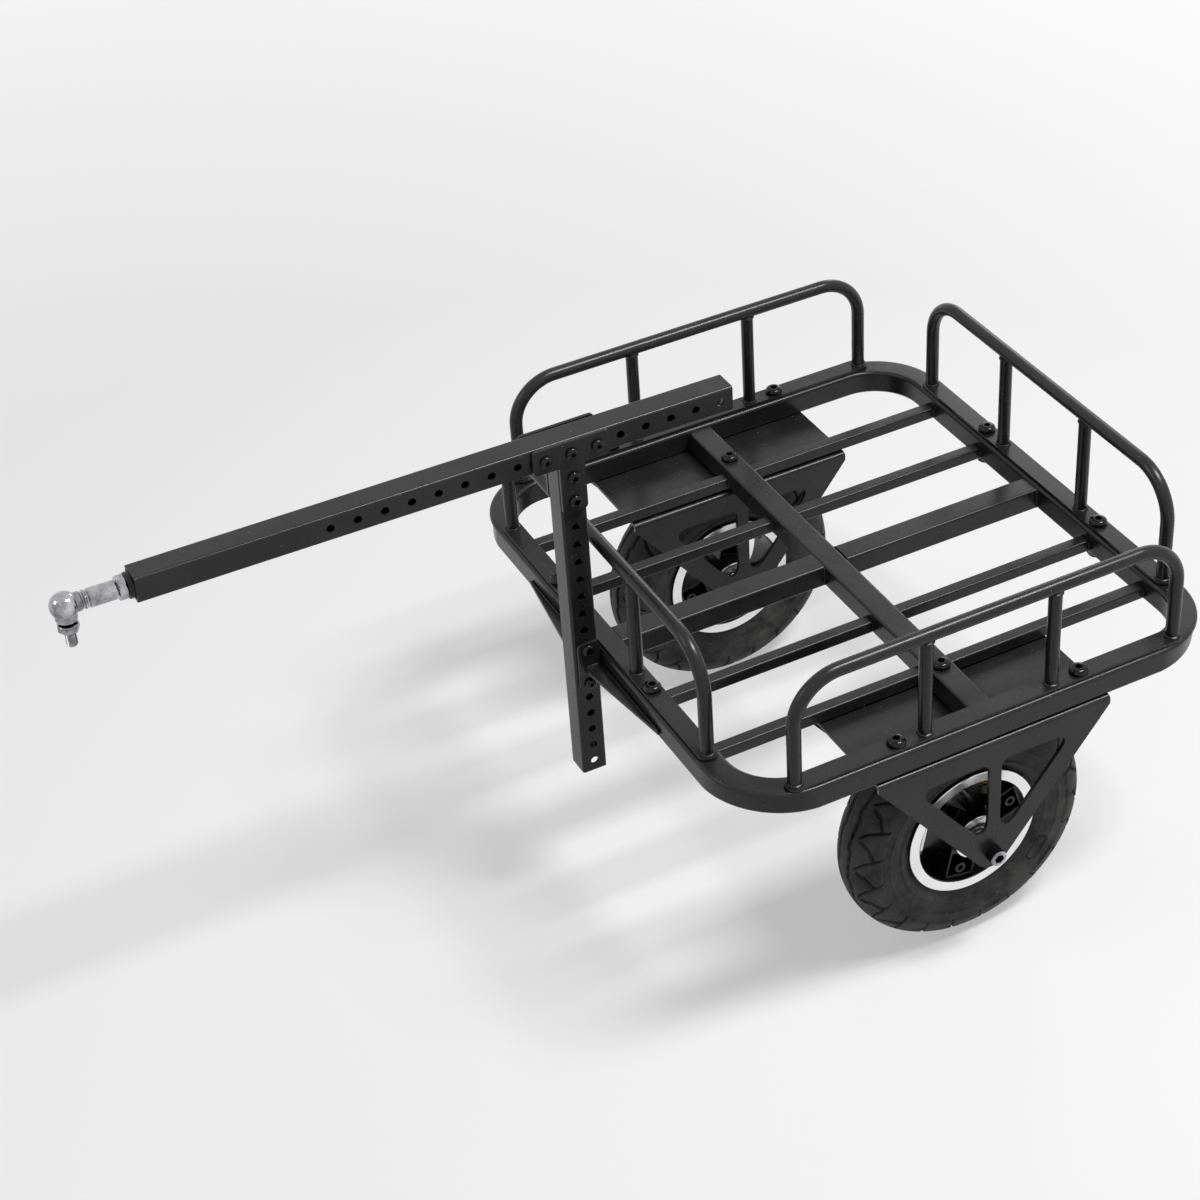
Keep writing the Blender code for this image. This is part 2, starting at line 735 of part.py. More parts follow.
def around(count, meshes, name):
    """One mesh with these meshes repeated about Z."""
    bm = bmesh.new()
    for i in range(count):
        turn = Matrix.Rotation(2 * math.pi * i / count, 4, "Z")
        for mesh in meshes:
            copy = mesh.copy()
            copy.transform(turn)
            bm.from_mesh(copy)
            bpy.data.meshes.remove(copy)
    return mesh_from(name, bm)


def make_rim_tools():
    """Spokes to join and pockets and holes to cut, shared by both wheels."""
    spoke_start = (HUB_RADIUS + BEARING_RADIUS) / 2 - 0.001
    spoke_end = (BARREL_RADIUS + BEAD_RADIUS) / 2 - 0.0015
    spoke = plate("spoke", [rectangle(spoke_end - spoke_start, SPOKE_WIDTH)], SPOKE_DEPTH)
    spoke.transform(Matrix.Translation(((spoke_start + spoke_end) / 2, 0, 0)))

    pocket_start = HUB_RADIUS + SPOKE_RIB
    pocket_end = BARREL_RADIUS - SPOKE_RIB
    middle = (pocket_start + pocket_end) / 2
    edge = rectangle(pocket_end - pocket_start, SPOKE_WIDTH - 2 * SPOKE_RIB)
    edge = [(u + middle, v) for u, v in edge]
    boss = circle(BOSS_RADIUS, HOLE_SIDES, (BOSS_CIRCLE, 0))
    pocket = plate("pocket", [edge, boss], SPOKE_DEPTH)
    lower = pocket.copy()
    lift = SPOKE_FLOOR / 2 + SPOKE_DEPTH / 2
    pocket.transform(Matrix.Translation((0, 0, lift)))
    lower.transform(Matrix.Translation((0, 0, -lift)))
    hole = cylinders("boss_hole", BOSS_HOLE, HUB_LENGTH, [(BOSS_CIRCLE, 0, 0)])
    return around(3, [spoke], "spokes"), around(3, [pocket, lower], "pockets"), around(3, [hole], "boss_holes")


def make_wheel(side, x, spoke_angle, rim_tools):
    axis = empty(f"{side}_wheel_axis", (x, 0, -AXLE_DROP), ALONG_X, datum)
    tyre = section_mesh(f"{side}_tyre", tyre_section())
    spin(place(f"{side}_tyre", tyre, parent=axis, look=rubber), WHEEL_SIDES)

    # Local X points down, so a spoke's angle from +Y is a quarter turn further on.
    turn = (0, 0, spoke_angle + math.pi / 2)
    barrel, hub = rim_sections()
    barrel_mesh = section_mesh(f"{side}_rim", barrel)
    rim = place(f"{side}_rim", barrel_mesh, rotation=turn, parent=axis, look=rim_black)
    spin(rim, RIM_SIDES)
    hub_mesh = section_mesh(f"{side}_hub", hub)
    hub_piece = spin(cutter(f"{side}_hub", hub_mesh, rotation=turn, parent=axis), HUB_SIDES)
    spokes, pockets, holes = rim_tools
    combine(rim, cutter(f"{side}_spokes", spokes, rotation=turn, parent=axis), "UNION")
    combine(rim, hub_piece, "UNION")
    combine(rim, cutter(f"{side}_pockets", pockets, rotation=turn, parent=axis), "DIFFERENCE")
    combine(rim, cutter(f"{side}_boss_holes", holes, rotation=turn, parent=axis), "DIFFERENCE")

    outward = 1 if x > 0 else -1
    inset = HUB_LENGTH / 2 - BEARING_INSET - BEARING_WIDTH / 2
    bore = SLEEVE_RADIUS + FIT_GAP
    bearing = [
        (BEARING_RADIUS, BEARING_WIDTH / 2),
        (BEARING_RADIUS, -BEARING_WIDTH / 2),
        (bore, -BEARING_WIDTH / 2),
        (bore, BEARING_WIDTH / 2),
    ]
    for end, lift in (("outer", outward * inset), ("inner", -outward * inset)):
        name = f"{side}_{end}_bearing"
        bearing_mesh = section_mesh(name, bearing)
        spin(place(name, bearing_mesh, (0, 0, lift), turn, axis, steel), HUB_SIDES)

    seat = empty(f"{side}_axle_seat", (x, 0, -AXLE_DROP), ALONG_X, datum)
    plate_face = BRACKET_WIDTH / 2 - BRACKET_SHEET - FIT_GAP
    spacer_start = inset + BEARING_WIDTH / 2 + FIT_GAP
    axle_bore = M8_RADIUS + FIT_GAP
    sleeve = [
        (SPACER_RADIUS, plate_face),
        (SPACER_RADIUS, spacer_start),
        (SLEEVE_RADIUS, spacer_start),
        (SLEEVE_RADIUS, -spacer_start),
        (SPACER_RADIUS, -spacer_start),
        (SPACER_RADIUS, -plate_face),
        (axle_bore, -plate_face),
        (axle_bore, plate_face),
    ]
    sleeve_mesh = section_mesh(f"{side}_axle_sleeve", sleeve)
    spin(place(f"{side}_axle_sleeve", sleeve_mesh, parent=seat, look=steel), RING_SIDES)

    head_face = BRACKET_WIDTH / 2 + FIT_GAP
    bolt = axle_screw(f"{side}_axle_bolt", 2 * head_face)
    flip = UPRIGHT if outward > 0 else (math.pi, 0, 0)
    place(f"{side}_axle_bolt", bolt, (0, 0, outward * head_face), flip, seat, black_steel)


def post_hole_places():
    rows = [POST_FIRST_HOLE + i * POST_HOLE_PITCH for i in range(POST_HOLES)]
    return [(0, POST_Y, z) for z in rows]


def tee_bolt_places():
    """Three bolts along the drawbar and two down the post, in the datum's frame."""
    arm = [(0, POST_Y + side * TEE_PITCH, DRAWBAR_HEIGHT) for side in (-1, 0, 1)]
    stem = [(0, POST_Y, DRAWBAR_HEIGHT - step * TEE_PITCH) for step in (1, 2)]
    return dict(zip(("front", "middle", "rear", "upper", "lower"), arm + stem))


def make_post():
    length = POST_TOP + POST_BOTTOM
    middle_z = (POST_TOP - POST_BOTTOM) / 2
    mesh = square_tube("post", TUBE, TUBE, TUBE_WALL, BEAM_EDGE, length)
    post = place("post", mesh, (0, POST_Y, middle_z), UPRIGHT, look=powder_coat)
    radius = M5_RADIUS + HOLE_CLEARANCE
    rows = cylinders("post_holes", radius, 2 * TUBE, post_hole_places(), ALONG_X, HOLE_SIDES)
    combine(post, cutter("post_holes", rows), "DIFFERENCE")
    combine(post, tee_bolt_holes, "DIFFERENCE")

    # The drawbar's plates, a T seen from the side: an arm along it and a stem down the post
    arm = plate("tee_arm", [rectangle(TEE_ARM, TUBE, TEE_CORNER, FILLET_STEPS)], TEE_SHEET)
    stem_height = TEE_STEM + TUBE / 2
    stem = plate("tee_stem", [rectangle(TUBE, stem_height, TEE_CORNER, FILLET_STEPS)], TEE_SHEET)
    stem.transform(Matrix.Translation((0, -stem_height / 2, 0)))
    for side, outward in (("left", 1), ("right", -1)):
        spot = (outward * (PLATE_X + TEE_SHEET / 2), POST_Y, DRAWBAR_HEIGHT)
        tee_plate = place(f"{side}_tee_plate", arm.copy(), spot, SIDE_VIEW, look=powder_coat)
        combine(tee_plate, cutter(f"{side}_tee_stem", stem, spot, SIDE_VIEW), "UNION")
        combine(tee_plate, tee_bolt_holes, "DIFFERENCE")

    head_x = PLATE_X + TEE_SHEET + FIT_GAP
    screw = m5_screw("tee_bolt", 2 * head_x)
    for name, (x, y, z) in tee_bolt_places().items():
        place(f"tee_bolt_{name}", screw, (head_x, y, z), ALONG_X, look=black_steel)


def make_post_feet():
    """Side plates bolted to the post, each with a gusset welded along the deck."""
    height = FOOT_TOP + FOOT_BOTTOM
    rear = -DECK_LENGTH / 2 - FIT_GAP
    middle = (rear - FOOT_LENGTH / 2, (FOOT_TOP - FOOT_BOTTOM) / 2)
    foot = plate("foot_plate", [rectangle(FOOT_LENGTH, height, FOOT_CORNER)], FOOT_SHEET)
    places = [post_hole_places()[row] for row in POST_BOLT_ROWS]
    holes = cutter(
        "post_bolt_holes",
        cylinders("post_bolt_holes", M5_RADIUS + HOLE_CLEARANCE, 3 * TUBE, places, ALONG_X),
    )
    for side, outward in (("left", 1), ("right", -1)):
        x = outward * (PLATE_X + FOOT_SHEET / 2)
        bracket = place(
            f"{side}_post_foot", foot.copy(), (x, *middle), SIDE_VIEW, look=powder_coat
        )
        root = outward * (PLATE_X + FOOT_SHEET / 2)
        tip = outward * (PLATE_X + GUSSET_REACH)
        corners = [(root, rear), (root, rear - GUSSET_DEPTH), (tip, rear - 0.0015), (tip, rear)]
        if outward > 0:
            corners.reverse()
        gusset = plate(f"{side}_gusset", [corners], FOOT_SHEET)
        gusset_piece = cutter(f"{side}_gusset", gusset, (0, 0, -GUSSET_TOP - FOOT_SHEET / 2))
        combine(bracket, gusset_piece, "UNION")
        combine(bracket, holes, "DIFFERENCE")

    head_x = PLATE_X + FOOT_SHEET + FIT_GAP
    screw = m5_screw("post_bolt", 2 * head_x)
    for name, spot in zip(("lower", "upper"), places):
        place(f"post_bolt_{name}", screw, (head_x, spot[1], spot[2]), ALONG_X, look=black_steel)


def make_drawbar():
    """The drawbar, tipped up a little about the middle of the T plates."""
    length = DRAWBAR_FRONT + DRAWBAR_REAR
    mesh = square_tube("drawbar", TUBE, TUBE, TUBE_WALL, BEAM_EDGE, length)
    middle = (0, (DRAWBAR_REAR - DRAWBAR_FRONT) / 2, 0)
    drawbar = place("drawbar", mesh, middle, ALONG_Y, drawbar_pivot, powder_coat)
    spots = [(0, DRAWBAR_HOLE_REAR - i * TEE_PITCH, 0) for i in range(DRAWBAR_HOLES)]
    rows = cylinders("drawbar_holes", M5_RADIUS + HOLE_CLEARANCE, 2 * TUBE, spots, ALONG_X, HOLE_SIDES)
    combine(drawbar, cutter("drawbar_holes", rows, parent=drawbar_pivot), "DIFFERENCE")

    # The plug fills the tube's front end and holds the joint's threaded rod.
    plug = rounded(lofted("drawbar_plug", [
        ring_of((-ROD_LENGTH - PLUG_LIP, ROD_RADIUS, False)),
        ring_of((-PLUG_LIP, ROD_RADIUS, False)),
        ring_of((-PLUG_LIP, PLUG_RADIUS, False)),
        ring_of((0, PLUG_RADIUS, False)),
        ring_of((0, TUBE / 2 - TUBE_WALL - FIT_GAP, False)),
        ring_of((PLUG_DEPTH, TUBE / 2 - TUBE_WALL - FIT_GAP, False)),
    ]))
    place("drawbar_plug", plug, (0, -PLUG_FACE, 0), ALONG_Y, drawbar_pivot, black_plastic)

    nut_rings = []
    half = JAM_NUT_THICKNESS / 2
    bore = ROD_RADIUS + FIT_GAP
    for height, radius, is_hexagon in (
        (-half, JAM_NUT_WIDTH / 2, True),
        (half, JAM_NUT_WIDTH / 2, True),
        (half, bore, False),
        (-half, bore, False),
    ):
        nut_rings.append(ring_of((height, radius, is_hexagon)))
    nut = rounded(lofted("jam_nut", nut_rings, closed=True))
    place("jam_nut", nut, (0, -JAM_NUT_START - half, 0), ALONG_Y, drawbar_pivot, zinc)


def make_socket():
    """A ball housing on a threaded shank, with a bore for the ball that flares at its mouth."""
    bm = bmesh.new()
    bmesh.ops.create_uvsphere(bm, u_segments=16, v_segments=8, radius=SOCKET_RADIUS)
    ball_mesh = rounded(mesh_from("hitch_socket", bm))
    socket = place("hitch_socket", ball_mesh, (0, -BALL_REACH, 0), parent=drawbar_pivot, look=zinc)

    shank_length = SHANK_END - SOCKET_RADIUS / 2
    shank_middle = (SHANK_END + SOCKET_RADIUS / 2) / 2
    shank = cylinders("shank", SHANK_RADIUS, shank_length, [(0, shank_middle, 0)], ALONG_Y, RING_SIDES)
    skirt = cylinders("skirt", SKIRT_RADIUS, SKIRT_DEPTH, [(0, 0, -SKIRT_DEPTH / 2)], UPRIGHT, HUB_SIDES)
    at_ball = {"location": (0, -BALL_REACH, 0), "parent": drawbar_pivot}
    combine(socket, cutter("shank", shank, **at_ball), "UNION")
    combine(socket, cutter("skirt", skirt, **at_ball), "UNION")

    bore = [(-SKIRT_DEPTH * 1.1, SOCKET_BORE + SKIRT_FLARE * 1.2, False)]
    bore.append((-SKIRT_DEPTH * 0.7, SOCKET_BORE, False))
    bore += [(z, radius, False) for radius, z in arc((0, 0), SOCKET_BORE, 0, 75, 3)]
    bore_mesh = lofted("ball_bore", [ring_of(ring, HUB_SIDES) for ring in bore])
    combine(socket, cutter("ball_bore", bore_mesh, **at_ball), "DIFFERENCE")

    thread_start = ROD_END - FIT_GAP
    thread_length = SHANK_END + FIT_GAP - thread_start
    spot = (0, thread_start + thread_length / 2, 0)
    thread = cylinders("thread_bore", ROD_RADIUS + FIT_GAP, thread_length, [spot], ALONG_Y, RING_SIDES)
    combine(socket, cutter("thread_bore", thread, **at_ball), "DIFFERENCE")

    flats = bmesh.new()
    for side in (-1, 1):
        block = Matrix.LocRotScale(
            (side * (SHANK_FLAT + SHANK_RADIUS / 2), SHANK_END - SHANK_FLAT_LENGTH / 2 + FIT_GAP, 0),
            None,
            (SHANK_RADIUS, SHANK_FLAT_LENGTH, 3 * SHANK_RADIUS),
        )
        bmesh.ops.create_cube(flats, size=1, matrix=block)
    combine(socket, cutter("shank_flats", mesh_from("shank_flats", flats), **at_ball), "DIFFERENCE")


def make_ball_stud():
    """The ball, its retaining ring and the stud that bolts to the scooter, hanging plumb."""
    swivel = empty("hitch_swivel", (0, BALL_Y, BALL_Z), UPRIGHT, datum)
    ring_outer = BALL_RADIUS
    collar = [
        (ring_outer, -COLLAR_TOP),
        (ring_outer, -COLLAR_TOP - COLLAR_DEPTH),
        (ring_outer - COLLAR_WALL, -COLLAR_TOP - COLLAR_DEPTH),
        (ring_outer - COLLAR_WALL, -COLLAR_TOP),
    ]
    collar_mesh = section_mesh("hitch_collar", collar)
    spin(place("hitch_collar", collar_mesh, parent=swivel, look=steel), HUB_SIDES)

    bm = bmesh.new()
    bmesh.ops.create_uvsphere(bm, u_segments=12, v_segments=8, radius=BALL_RADIUS)
    place("hitch_ball", rounded(mesh_from("hitch_ball", bm)), parent=swivel, look=steel)

    cup = BALL_RADIUS + FIT_GAP
    neck_top = -math.sqrt(cup**2 - NECK_RADIUS**2)
    cup_middle = -math.sqrt(cup**2 - (NECK_RADIUS / 2) ** 2)
    flange_low = -STUD_FLANGE_TOP - STUD_FLANGE
    hex_low = flange_low - STUD_HEX_HEIGHT
    rings = [
        (cup_middle, NECK_RADIUS / 2, False),
        (neck_top, NECK_RADIUS, False),
        (-STUD_FLANGE_TOP, NECK_RADIUS, False),
        (-STUD_FLANGE_TOP, STUD_FLANGE_RADIUS, False),
        (flange_low, STUD_FLANGE_RADIUS, False),
        (flange_low, STUD_HEX / 2, True),
        (hex_low, STUD_HEX / 2, True),
        (hex_low, STUD_RADIUS, False),
        (-STUD_LENGTH, STUD_RADIUS, False),
    ]
    stud = rounded(lofted("hitch_stud", [ring_of(ring) for ring in rings]))
    place("hitch_stud", stud, parent=swivel, look=zinc)


clear_scene()
parts = new_collection("scooter_cargo_trailer")
cutters = new_collection("cutters")

powder_coat = material("powder_coat", (0.018, 0.018, 0.019), 0.45, 0.0)
black_steel = material("black_steel", (0.012, 0.012, 0.012), 0.25, 0.6)
black_plastic = material("black_plastic", (0.02, 0.02, 0.02), 0.4, 0.0)
rubber = material("rubber", (0.02, 0.02, 0.02), 0.75, 0.0)
rim_black = material("rim_black", (0.015, 0.015, 0.016), 0.35, 0.2)
steel = material("steel", (0.55, 0.55, 0.56), 0.3, 1.0)
zinc = material("zinc", (0.78, 0.78, 0.8), 0.15, 1.0)

datum = empty("deck_datum", (0, DATUM_Y, DATUM_Z))
drawbar_pivot = empty("drawbar_pivot", (0, POST_Y, DRAWBAR_HEIGHT), (-NOSE_UP, 0, 0), datum)

rail_bolt_holes = cutter(
    "rail_bolt_holes",
    cylinders(
        "rail_bolt_holes",
        M8_RADIUS + HOLE_CLEARANCE,
        4 * TUBE,
        [(x, y, 0) for _, (x, y), _ in rail_bolt_places()],
    ),
)
beam_bolt_holes = cutter(
    "beam_bolt_holes",
    cylinders(
        "beam_bolt_holes",
        M8_RADIUS + HOLE_CLEARANCE,
        4 * TUBE,
        [(BEAM_BOLT_X, 0, 0), (-BEAM_BOLT_X, 0, 0)],
    ),
)
tee_bolt_holes = cutter(
    "tee_bolt_holes",
    cylinders(
        "tee_bolt_holes",
        M5_RADIUS + HOLE_CLEARANCE,
        3 * TUBE,
        list(tee_bolt_places().values()),
        ALONG_X,
    ),
)

make_deck()
make_rails()
make_deck_bolts()
make_wheel_brackets()
rim_tools = make_rim_tools()
make_wheel("left", WHEEL_X, LEFT_SPOKE_ANGLE, rim_tools)
make_wheel("right", -WHEEL_X, RIGHT_SPOKE_ANGLE, rim_tools)
make_post()
make_post_feet()
make_drawbar()
make_socket()
make_ball_stud()
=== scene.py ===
# %% [markdown]
# # A small two-wheeled cargo trailer
# A bent square tube carries bars, four rails and two wheels in brackets of bent sheet. A post
# and a drawbar, both with rows of holes, lead to a ball joint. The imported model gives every
# place and size. Each of its plain solids is replaced here by a finer piece that fills the same
# space, so nothing has to be fitted by eye.

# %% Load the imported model
import math
import random

import bmesh
import bpy
import numpy as np
from mathutils import Matrix, Vector


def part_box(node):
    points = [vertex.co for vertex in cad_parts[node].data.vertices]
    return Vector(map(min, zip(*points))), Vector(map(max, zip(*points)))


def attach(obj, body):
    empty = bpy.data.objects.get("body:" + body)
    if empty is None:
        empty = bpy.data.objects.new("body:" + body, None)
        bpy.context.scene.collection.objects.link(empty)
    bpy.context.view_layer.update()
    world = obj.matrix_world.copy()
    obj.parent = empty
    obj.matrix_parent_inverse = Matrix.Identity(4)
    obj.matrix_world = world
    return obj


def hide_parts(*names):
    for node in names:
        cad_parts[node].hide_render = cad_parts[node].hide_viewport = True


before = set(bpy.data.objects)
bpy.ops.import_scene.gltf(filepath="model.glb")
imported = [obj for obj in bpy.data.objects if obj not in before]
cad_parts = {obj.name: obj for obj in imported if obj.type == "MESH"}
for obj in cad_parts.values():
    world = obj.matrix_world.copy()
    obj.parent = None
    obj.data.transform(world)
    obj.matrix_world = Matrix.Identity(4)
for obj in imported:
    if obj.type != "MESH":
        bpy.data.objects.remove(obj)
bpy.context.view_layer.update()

MM = 0.001
scene = bpy.context.scene


def add_object(name, data):
    obj = bpy.data.objects.new(name, data)
    scene.collection.objects.link(obj)
    return obj


# %% [markdown]
# ## Where things are
# Modelling is easier in millimetres about a point that means something. The deck's datum is the
# middle of the deck, level with the top of its tube. A matrix then takes a finished mesh from
# millimetres about its own datum to metres in the model's frame.

# %% Datum points from the solids' boxes


def middle_of(node):
    low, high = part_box(node)
    return (low + high) / 2


def size_of(node):
    low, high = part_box(node)
    return (high - low) / MM


def frame_at(point, rotation=None):
    """Takes millimetres about this point to metres in the model's frame."""
    matrix = Matrix.Translation(point)
    if rotation:
        matrix = matrix @ rotation.to_4x4()
    return matrix @ Matrix.Scale(MM, 4)


deck_low, deck_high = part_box("deck_frame")
DECK = frame_at((0, (deck_low.y + deck_high.y) / 2, deck_high.z))
POST_Y = (middle_of("post").y - DECK.translation.y) / MM
PIVOT = middle_of("tee_bolt_middle")
PIVOT.x = 0
BALL_CENTRE = middle_of("hitch_ball")
NOSE_UP = Matrix.Rotation(math.radians(-0.6), 3, "X")
DRAWBAR = frame_at(PIVOT, NOSE_UP)
BALL_REACH = (BALL_CENTRE - PIVOT).length / MM
BALL = frame_at(BALL_CENTRE)
TIPPED_BALL = frame_at(BALL_CENTRE, NOSE_UP)
WHEEL_AXES = {
    "left": Matrix(((0, 0, 1), (1, 0, 0), (0, 1, 0))),
    "right": Matrix(((0, 0, -1), (1, 0, 0), (0, -1, 0))),
}
WHEELS = {side: frame_at(middle_of(f"{side}_tyre"), axes) for side, axes in WHEEL_AXES.items()}
WHEEL_X = middle_of("left_tyre").x / MM
print("deck datum", tuple(round(c, 4) for c in DECK.translation), "ball reach", round(BALL_REACH, 1))

# %% [markdown]
# ## Camera
# The camera stands at the photograph's angle: to the front and the left, looking down over the
# drawbar and the near wheel. A long lens keeps the tubes nearly parallel.

# %% Camera
CAMERA_AT = (1.41069, -0.64166, 1.43263)
CAMERA_TURNS = (("Z", 65.645), ("X", 52.887), ("Z", -4.361))
camera_data = bpy.data.cameras.new("camera")
camera_data.sensor_width = 36
camera_data.lens = 79.38
camera_data.clip_end = 50
camera = add_object("camera", camera_data)
view_from = Matrix.Translation(CAMERA_AT)
for axis, degrees in CAMERA_TURNS:
    view_from = view_from @ Matrix.Rotation(math.radians(degrees), 4, axis)
camera.matrix_world = view_from
scene.camera = camera
scene.view_settings.view_transform = "Standard"
print("camera", camera_data.lens, "mm")

# %% [markdown]
# ## Stage
# A black object needs a pale room: what it reflects is what shows its edges. The floor and the
# world are white to the camera and in reflections, and only grey as a source of light, so that
# the blacks stay black. The floor glows more with distance, to meet the white world without a
# line. The main lamp is a long panel in line with the trailer: it gives the tubes their sheen.

# %% Node helper


class Nodes:
    """Adds nodes to a tree and joins them: a value is a number, a colour or another's socket."""

    def __init__(self, tree):
        self.tree = tree

    def add(self, kind, out=0, settings=None, **values):
        """A key such as _2 is an input's number, and any other key is its name."""
        node = self.tree.nodes.new(kind)
        for key, value in (settings or {}).items():
            setattr(node, key, value)
        for key, value in values.items():
            self.join(value, node.inputs[int(key[1:]) if key[1:].isdigit() else key.replace("_", " ")])
        return node.outputs[out]

    def join(self, value, socket):
        if isinstance(value, bpy.types.NodeSocket):
            self.tree.links.new(value, socket)
        else:
            socket.default_value = value

    def math(self, operation, a, b=0.0):
        return self.add("ShaderNodeMath", settings={"operation": operation}, _0=a, _1=b)

    def remap(self, value, low, high, out_low=0.0, out_high=1.0):
        return self.add("ShaderNodeMapRange", Value=value, From_Min=low, From_Max=high,
                        To_Min=out_low, To_Max=out_high)

    def mix(self, factor, a, b):
        return self.add("ShaderNodeMix", 2, {"data_type": "RGBA"}, _0=factor, _6=a, _7=b)

    def noise(self, vector, scale, detail, roughness=0.5):
        return self.add("ShaderNodeTexNoise", Vector=vector, Scale=scale, Detail=detail, Roughness=roughness)

    def end(self, kind, shader):
        self.join(shader, self.tree.nodes.new(kind).inputs["Surface"])


def new_tree(block):
    block.use_nodes = True
    block.node_tree.nodes.clear()
    return Nodes(block.node_tree)


def seen_directly(n):
    """1 for the camera, and for rays that a shiny or clear surface sends on."""
    path = n.tree.nodes.new("ShaderNodeLightPath").outputs
    seen = n.math("MAXIMUM", path["Is Camera Ray"], path["Is Glossy Ray"])
    return n.math("MAXIMUM", seen, path["Is Transmission Ray"])


print("node helper ready")

# %% World and floor
WORLD_LIGHT = 0.12
FLOOR_TONE = 0.52
GLOW_FROM, GLOW_TO = 0.9, 3.2
GLOW_NEAR, GLOW_FAR = 0.41, 0.93

world = bpy.data.worlds.new("studio")
scene.world = world
n = new_tree(world)
strength = n.remap(seen_directly(n), 0, 1, WORLD_LIGHT, 1.0)
sky = n.add("ShaderNodeBackground", Color=(1, 1, 1, 1), Strength=strength)
n.end("ShaderNodeOutputWorld", sky)

floor_look = bpy.data.materials.new("floor")
n = new_tree(floor_look)
shader = n.tree.nodes.new("ShaderNodeBsdfPrincipled")
shader.inputs["Base Color"].default_value = (FLOOR_TONE, FLOOR_TONE, FLOOR_TONE, 1)
shader.inputs["Roughness"].default_value = 0.9
shader.inputs["Emission Color"].default_value = (1, 1, 1, 1)
spot = n.add("ShaderNodeTexCoord", 3)
away = n.add("ShaderNodeVectorMath", 1, {"operation": "LENGTH"}, _0=spot)
glow = n.math("MULTIPLY", seen_directly(n), n.remap(away, GLOW_FROM, GLOW_TO, GLOW_NEAR, GLOW_FAR))
n.join(glow, shader.inputs["Emission Strength"])
n.end("ShaderNodeOutputMaterial", shader.outputs[0])

bm = bmesh.new()
bmesh.ops.create_grid(bm, x_segments=1, y_segments=1, size=12)
floor_mesh = bpy.data.meshes.new("floor")
bm.to_mesh(floor_mesh)
bm.free()
floor_mesh.materials.append(floor_look)
add_object("floor", floor_mesh)
print("world and floor")

# %% Lamps


def soft_lamp(name, place, target, across, along, watts):
    """A panel that faces its target, with one side in line with the trailer."""
    data = bpy.data.lights.new(name, "AREA")
    data.shape = "RECTANGLE"
    data.size, data.size_y = across, along
    data.energy = watts
    back = (Vector(place) - Vector(target)).normalized()
    right = Vector((0, 1, 0)).cross(back).normalized()
    facing = Matrix((right, back.cross(right), back)).transposed()
    add_object(name, data).matrix_world = Matrix.Translation(place) @ facing.to_4x4()


soft_lamp("overhead", (0.75, 0.95, 2.5), (0, 0.1, 0.2), 0.45, 1.15, 60)
soft_lamp("front", (-0.6, -2.3, 1.7), (0, 0, 0.2), 1.0, 0.8, 8)
soft_lamp("rear_edge", (-1.9, 1.9, 1.3), (0, 0.1, 0.2), 0.7, 0.7, 5)
print(len(bpy.data.lights), "lamps")

# %% [markdown]
# ## Finishes
# Four kinds of black are side by side on this trailer: satin powder coat with a fine grain, the
# gloss of oiled screws, painted castings and dusty rubber. What tells them apart is roughness,
# grain and dust. One node group makes grain, mottling and specks, and each finish sets
# how much of each it shows.

# %% Grain group shared by the finishes
grain_group = bpy.data.node_groups.new("surface_grain", "ShaderNodeTree")
GRAIN_INPUTS = {"Grain Scale": 900.0, "Mottle Scale": 25.0, "Speck Scale": 260.0, "Speck Share": 0.02}
for socket_name, start in GRAIN_INPUTS.items():
    socket = grain_group.interface.new_socket(socket_name, in_out="INPUT", socket_type="NodeSocketFloat")
    socket.default_value = start
for socket_name in ("Grain", "Mottle", "Specks"):
    grain_group.interface.new_socket(socket_name, in_out="OUTPUT", socket_type="NodeSocketFloat")
n = Nodes(grain_group)
given = grain_group.nodes.new("NodeGroupInput").outputs
result = grain_group.nodes.new("NodeGroupOutput").inputs
spot = n.add("ShaderNodeTexCoord", 3)
n.join(n.noise(spot, given["Grain Scale"], 2.0), result["Grain"])
n.join(n.noise(spot, given["Mottle Scale"], 5.0, 0.6), result["Mottle"])
cells = n.add("ShaderNodeTexVoronoi", 0, Vector=spot, Scale=given["Speck Scale"])
in_patches = n.remap(n.noise(spot, 90.0, 2.0), 0.5, 0.6)
near_a_point = n.math("LESS_THAN", cells, n.math("MULTIPLY", given["Speck Share"], 6.0))
n.join(n.math("MULTIPLY", near_a_point, in_patches), result["Specks"])
print("grain group", len(grain_group.nodes), "nodes")

# %% The finishes


def rgba(colour):
    """A colour from one shade of grey, or from red, green and blue."""
    return (*(colour if isinstance(colour, tuple) else (colour,) * 3), 1)


def finish(name, dark, light, rough, grain=0.0, grain_scale=900.0, specks=0.0, speck_colour=0.2,
           mottle_scale=25.0, **sockets):
    """A Principled finish: two shades that mottle, a range of roughness, grain and specks."""
    look = bpy.data.materials.new(name)
    n = new_tree(look)
    shader = n.tree.nodes.new("ShaderNodeBsdfPrincipled")
    group = n.tree.nodes.new("ShaderNodeGroup")
    group.node_tree = grain_group
    for key, value in (("Grain Scale", grain_scale), ("Mottle Scale", mottle_scale), ("Speck Share", specks)):
        group.inputs[key].default_value = value
    marks = group.outputs
    colour = n.mix(n.remap(marks["Mottle"], 0.35, 0.65), rgba(dark), rgba(light))
    if specks:
        colour = n.mix(marks["Specks"], colour, rgba(speck_colour))
    n.join(colour, shader.inputs["Base Color"])
    n.join(n.remap(marks["Mottle"], 0.3, 0.7, *rough), shader.inputs["Roughness"])
    if grain:
        bump = n.add("ShaderNodeBump", Height=marks["Grain"], Distance=grain, Strength=1.0)
        n.join(bump, shader.inputs["Normal"])
    for key, value in sockets.items():
        shader.inputs[key.replace("_", " ")].default_value = value
    n.end("ShaderNodeOutputMaterial", shader.outputs[0])
    return look


